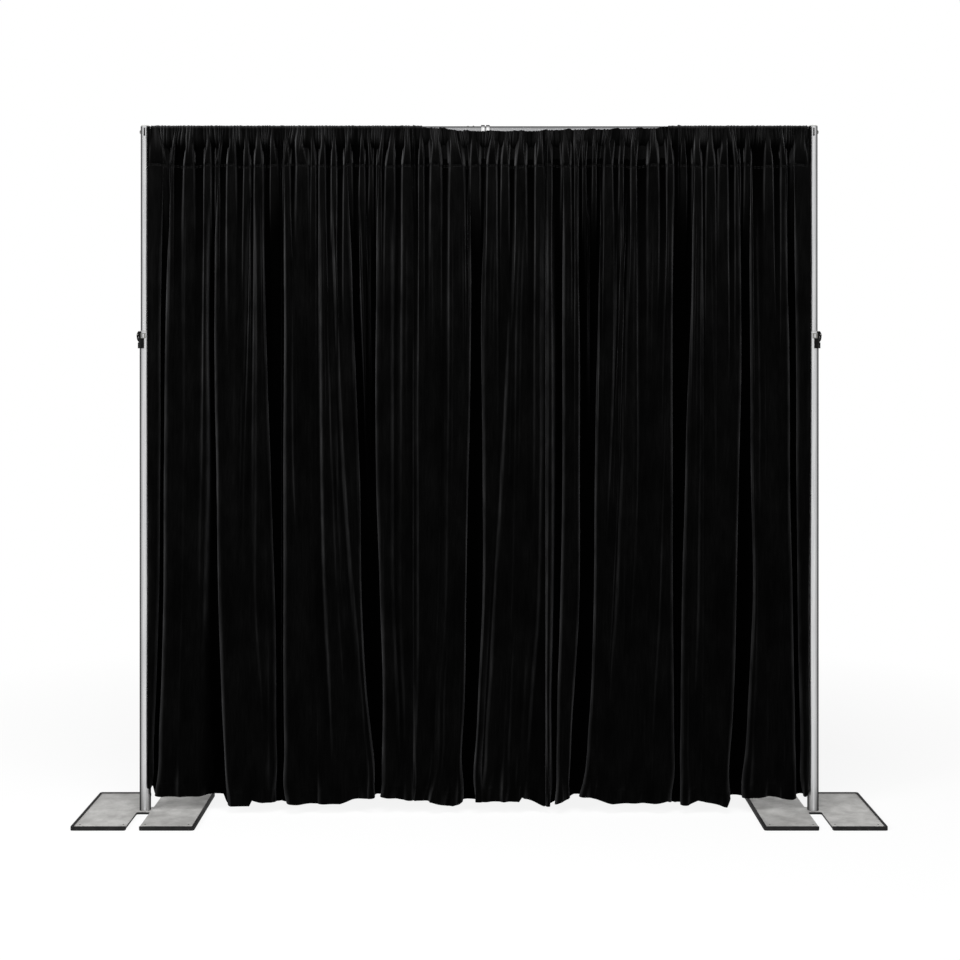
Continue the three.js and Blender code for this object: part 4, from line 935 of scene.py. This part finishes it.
# Rounds off a sampled curve: softness is in samples
def soften(curve, softness):
    reach = int(math.ceil(3 * softness))
    weights = np.exp(-0.5 * (np.arange(-reach, reach + 1) / softness) ** 2)
    weights /= weights.sum()
    before = 2 * curve[0] - curve[reach:0:-1]
    after = 2 * curve[-1] - curve[-2:-reach - 2:-1]
    padded = np.vstack([before, curve, after])
    return np.stack([np.convolve(padded[:, axis], weights, "valid") for axis in range(2)], axis=1)


def normalsOf(curve):
    along = np.gradient(curve, axis=0)
    along /= np.linalg.norm(along, axis=1)[:, None]
    return np.stack([along[:, 1], -along[:, 0]], axis=1)  # towards the viewer


# Uneven waves along one width. A row of the table: strength, half waves, which of the width's turns it takes
def waves(w, table):
    return sum(strength * np.sin(count * math.pi * w.across + w.turns[turn])
               for strength, count, turn in table)


# 1 on the rounded pleats that stand up at the seam. The rise is 0 there and 1 at the bar, at their necks
def pleats(w, x, rise, widen=1.0):
    d = drape
    shown = np.zeros(len(x))
    for middle, half, neck in seamPleats[widthNames[w.number]]:
        place = middle + (neck - middle) * rise
        aside = np.abs(x - place) / (half * widen * (1 - d["pleatNarrowing"] * rise))
        shown = np.maximum(shown, 1 - smoothStep((aside - d["pleatFlatShare"]) / d["pleatEdgeShare"]))
    return shown


# What all rows of one width share: its ends, its random turns, its gathers and how it passes its neighbours
def layOutWidth(number):
    d = drape
    first = d["left"] + d["width"] * number + d["gap"] / 2
    across = np.linspace(0, 1, d["columns"] + 1)
    w = SimpleNamespace(number=number, first=first, last=first + d["width"] - d["gap"], across=across,
                        count=len(across), stations=foldPoints(folds[widthNames[number]]))
    w.turns = np.random.RandomState(d["seed"] + number).uniform(0, 2 * math.pi, 12)
    spacing = across * d["gathers"] + waves(w, d["gatherDrift"])
    w.gather = ((1 - np.cos(2 * math.pi * spacing)) / 2) ** d["gatherSharpness"]
    w.gather *= d["gatherEven"] + waves(w, d["gatherUneven"])
    w.tucked = np.zeros(w.count)
    w.covering = np.zeros(w.count)
    if number < len(widthNames) - 1:
        w.tucked = smoothStep((across - d["tuckFromShare"]) / d["tuckShare"])
    if number > 0:
        w.covering = smoothStep((d["coverShare"] - across) / d["coverShare"] + d["coverStartShare"])
    w.inside = smoothStep(np.minimum(across, 1 - across) * d["sideSteepness"])
    return w


# Rows of the hanging cloth from the hem up to the seam, with the painted shade along each
def hangingRows(w):
    d = drape
    drop = d["seam"] - d["rowsFoot"]
    drops = np.array([*d["rowsBelowSeam"], *np.arange(d["rowsFrom"], drop - d["rowsTo"], d["rowSpacing"]),
                      *(drop - step for step in d["rowsAboveHem"])], float)
    rows, tones, lengths = [], [], []
    for fall in drops[::-1]:
        height = d["seam"] - fall
        full = smoothStep(fall / (d["seam"] - d["fullDepth"]))
        share = d["seamDepthShare"] + (1 - d["seamDepthShare"]) * full
        points = alongDrop(w.stations, height)
        points[:, 1] = d["foldMiddle"] + (points[:, 1] - d["foldMiddle"]) * share
        points[0, 0], points[-1, 0] = max(points[0, 0], w.first), min(points[-1, 0], w.last)
        curve, length = evenCurve(points, w.count)
        softness = d["softTop"] + (d["softLow"] - d["softTop"]) * smoothStep(fall / d["softReach"])
        curve = soften(curve, softness * w.count / length)
        outward = normalsOf(curve)

        # near the seam the long folds give way to the pleats
        plain = 1 - smoothStep(fall / d["plainReach"])
        curve[:, 0] += (np.maximum.accumulate(curve[:, 0]) - curve[:, 0]) * plain
        curve[:, 1] += (plainFront - curve[:, 1]) * plain * d["plainShare"]
        outward[:, 0] *= 1 - plain
        outward[:, 1] += (-1 - outward[:, 1]) * plain
        widen = 1 + d["pleatSpreadShare"] * (1 - math.exp(-fall / d["pleatSpreadReach"]))
        hollow = 1 - pleats(w, curve[:, 0], 0, widen)
        # painted shade: between the pleats the cloth is painted dark, fading out further down
        paintedShadeLeft = math.exp(-fall / d["paintedShadeFade"])
        paintedShade = d["paintedLowShade"] + (d["paintedBodyShade"] - d["paintedLowShade"]) * paintedShadeLeft
        tones.append(paintedShade * (1 - (1 - d["paintedHollowShade"]) * hollow * paintedShadeLeft))

        # how far the cloth stands out: creases, pleats, swells above the hem and pinches at the stitches
        crease = sum(depth * np.cos(2 * math.pi * many * w.across + w.turns[place + 3] + d["creaseDrift"]
                                    * math.sin(height / d["creaseSlant"] + w.turns[place + 6]))
                     * (0.5 + 0.5 * math.sin(height / d["creaseFade"] + w.turns[place + 8]))
                     for place, (many, depth) in enumerate(d["creases"]))
        slant = (drop - fall) / d["swellSlant"]
        swell = sum(strength * np.sin(2 * math.pi * (many * w.across + lean * slant) + w.turns[turn])
                    for strength, many, lean, turn in d["swells"])
        pleatDepth = d["pleatLow"] + (d["pleatDepth"] - d["pleatLow"]) * math.exp(-fall / d["pleatFade"])
        lift = crease * smoothStep(fall / d["creaseStart"])
        lift -= hollow * pleatDepth
        lift += d["hemSwell"] * swell * math.exp(-(drop - fall) / d["swellHeight"])
        lift -= d["seamPinch"] * math.exp(-(fall / d["pinchReach"]) ** 2)
        lift -= d["hemPinch"] * math.exp(-((drop - fall - d["hemDepth"]) / d["pinchReach"]) ** 2)
        curve = curve + outward * (lift * w.inside)[:, None]
        curve[:, 0] += w.tucked * d["tuck"]
        curve[:, 1] += w.tucked * d["tuckDepth"]
        hem = np.interp(curve[:, 0], *zip(*hemLine))
        z = d["seam"] - fall / drop * (d["seam"] - hem)
        z += waves(w, d["seamWaves"]) * math.exp(-fall / d["seamWaveReach"])
        rows.append(np.column_stack([curve, z]))
        lengths.append(length)
    return rows, tones, lengths


# Rows of the header: from the seam up the front, over the bar and down the back to the seam again
def headerRows(w, seamCurve):
    d, h, c = drape, header, crossbar
    seamX, seamY, seamZ = seamCurve.T
    top = w.first + w.across * (w.last - w.first) + w.tucked * d["tuck"]
    looped = np.abs(top) < h["endReach"]
    clothTop = np.full(w.count, float(h["endTop"]))
    if w.number in (2, 3):  # one sewn piece whose pocket holds the bar only at its two outer ends
        looped &= top < w.first + h["loopLength"] if w.number == 2 else top > w.last - h["loopLength"]
        clothTop = np.interp(top, *zip(*frontTopLine))
    clothTop = np.minimum(clothTop + h["topBump"] * np.clip(waves(w, h["topWaves"]), 0, 1), h["endTop"])
    loopRadius = c["radius"] + h["barGap"] + d["thickness"] / 2
    flatFront = -(c["radius"] + h["barGap"] + 2 * h["turnRadius"] + d["thickness"])
    gather = np.clip(w.gather * (1 - w.tucked), 0, 1)
    lifted = h["coverLift"] * w.covering - h["tuckLift"] * w.tucked  # one edge clears the other
    frontDepth = np.where(looped, -loopRadius, flatFront) - h["gatherFront"] * gather - lifted
    frontDepth = np.where(np.abs(top) < h["endReach"], frontDepth, h["endDepth"])
    frontEnd = np.where(looped, c["height"], clothTop - h["turnRadius"])

    # how far the cloth has gone from the seam's line to the bar's at a share of the way up
    def towardsBar(t):
        return smoothStep(t ** h["bend"] * 0.5) * 2

    rows, tones = [], []
    plainSeam = seamY - (1 - pleats(w, seamX, 0)) * d["pleatDepth"] * w.inside
    for t in h["frontRows"]:
        share = towardsBar(t)
        x = seamX + (top - seamX) * share
        y = plainSeam + (frontDepth - plainSeam) * share
        neck = pleats(w, x, t)
        dented = pleats(w, x, t, h["dentWidthShare"])
        dented = dented * math.exp(-((t * h["height"] - h["dentHeight"]) / h["dentReach"]) ** 2)
        filled = smoothStep((t - h["hollowShare"]) / h["hollowFadeShare"])
        hollow = (1 - neck) * d["pleatDepth"] * (1 - filled) + h["dent"] * dented
        # painted highlight on the upper header and the band at the bar; painted shade in the hollows, at the
        # seam and in the dents
        banded = smoothStep((t - h["bandShare"]) / h["bandFadeShare"])
        paintedBand = (h["bandEven"] + h["bandUneven"] * gather) * banded
        paler = smoothStep((t - h["paleShare"]) / h["paleFadeShare"])
        paintedShade = h["paintedSeamShade"] + (h["paintedHeaderShade"] - h["paintedSeamShade"]) * paler
        paintedShade = paintedShade * (1 - (1 - d["paintedHollowShade"]) * (1 - np.maximum(neck, paintedBand)))
        tones.append(paintedShade * (1 - h["paintedDentShadeShare"] * dented))
        proud = neck * h["neckLift"] * math.sin(math.pi * min(1, t * h["neckReach"]) ** h["neckLean"])
        proud += h["gatherProud"] * t * t * (1 - t) ** h["gatherLean"] * (gather - h["gatherSunkShare"])
        rise = (frontEnd - seamZ) * t
        rows.append(np.column_stack([x, y + (hollow - proud) * w.inside, seamZ + rise]))

    for turn in np.linspace(math.pi, 0, h["turnRows"] + 1)[1:]:
        front = abs(math.cos(turn)) ** h["gatherRoundness"]
        gathered = gather * (h["gatherTop"] + (h["gatherFront"] - h["gatherTop"]) * front)
        radius = loopRadius + gathered + lifted
        y = np.where(looped, radius * math.cos(turn), frontDepth + h["turnRadius"] * (1 + math.cos(turn))
                     * (1 + h["coverTurnShare"] * w.covering))
        z = np.where(looped, c["height"] + radius * math.sin(turn),
                     frontEnd + (h["turnRadius"] + h["topGather"] * gather) * math.sin(turn))
        rows.append(np.column_stack([top, y, z]))

    barBack = y
    seamBack = seamY + d["thickness"] + h["backGap"]
    for t in h["backRows"]:
        share = towardsBar(t)
        rows.append(np.column_stack([seamX + (top - seamX) * share, seamBack + (barBack - seamBack) * share,
                                     seamZ + (frontEnd - seamZ) * t]))
    return rows, tones, looped


def hangWidth(number):
    d = drape
    w = layOutWidth(number)
    rows, tones, lengths = hangingRows(w)
    seamRow = len(rows) - 1
    upperRows, headerPaintedShades, looped = headerRows(w, rows[-1])
    rows, tones = rows + upperRows, tones + headerPaintedShades
    overStart = len(tones)

    grid = np.array(rows) * mm
    down = np.concatenate([[0], np.cumsum(np.linalg.norm(np.diff(grid.mean(axis=1), axis=0), axis=1))])
    height, wide = grid.shape[:2]
    index = np.arange(height * wide).reshape(height, wide)
    faces = np.stack([index[:-1, :-1], index[:-1, 1:], index[1:, 1:], index[1:, :-1]], axis=-1)
    keep = np.ones(faces.shape[:2], bool)
    keep[overStart - 1:, :] &= (looped[:-1] == looped[1:])[None, :]  # the pocket is cut where the loop ends

    name = f"drapeWidth{number + 1}"
    mesh = bpy.data.meshes.new(name)
    mesh.from_pydata(grid.reshape(-1, 3).tolist(), [], faces[keep].tolist())
    piece = bpy.data.objects.new(name, mesh)
    scene.collection.objects.link(piece)
    corner = np.empty(len(mesh.loops), np.int64)
    mesh.loops.foreach_get("vertex_index", corner)
    flat = np.column_stack([np.tile(w.across * d["flatWidth"], height), np.repeat(down, wide)])
    layer = mesh.uv_layers.new(name="clothMap")
    layer.data.foreach_set("uv", flat[corner].astype(np.float32).ravel())
    # painted shade: cloth lying further back is painted darker, times each row's painted shade; the header's
    # back gets one even painted shade
    front = smoothStep((d["paintedShadeBack"] - grid[:, :, 1] / mm) / d["paintedShadeDepth"])
    front[:overStart] *= np.array(tones)
    front[overStart:] = d["paintedBackShade"]
    attribute = mesh.attributes.new("paintedFoldShade", "FLOAT", "POINT")
    attribute.data.foreach_set("value", front.astype(np.float32).ravel())
    applyModifier(piece, "SOLIDIFY", thickness=d["thickness"] * mm, offset=0, use_rim=True,
                  material_offset=1)
    activate(piece)
    bpy.ops.object.shade_smooth()
    material = cottonVelvet(f"cottonVelvet{number + 1}", down[seamRow])
    dress(piece, name, material, f"drape_width_{number + 1}")
    piece.data.materials.append(clothBack)
    print(f"  {name}: {len(mesh.polygons)} faces, cloth {lengths[0]:.0f} mm at the hem,"
          f" {lengths[len(lengths) // 2]:.0f} mm half way")


for number in range(len(widthNames)):
    hangWidth(number)

deselectAll()
print("Finished")
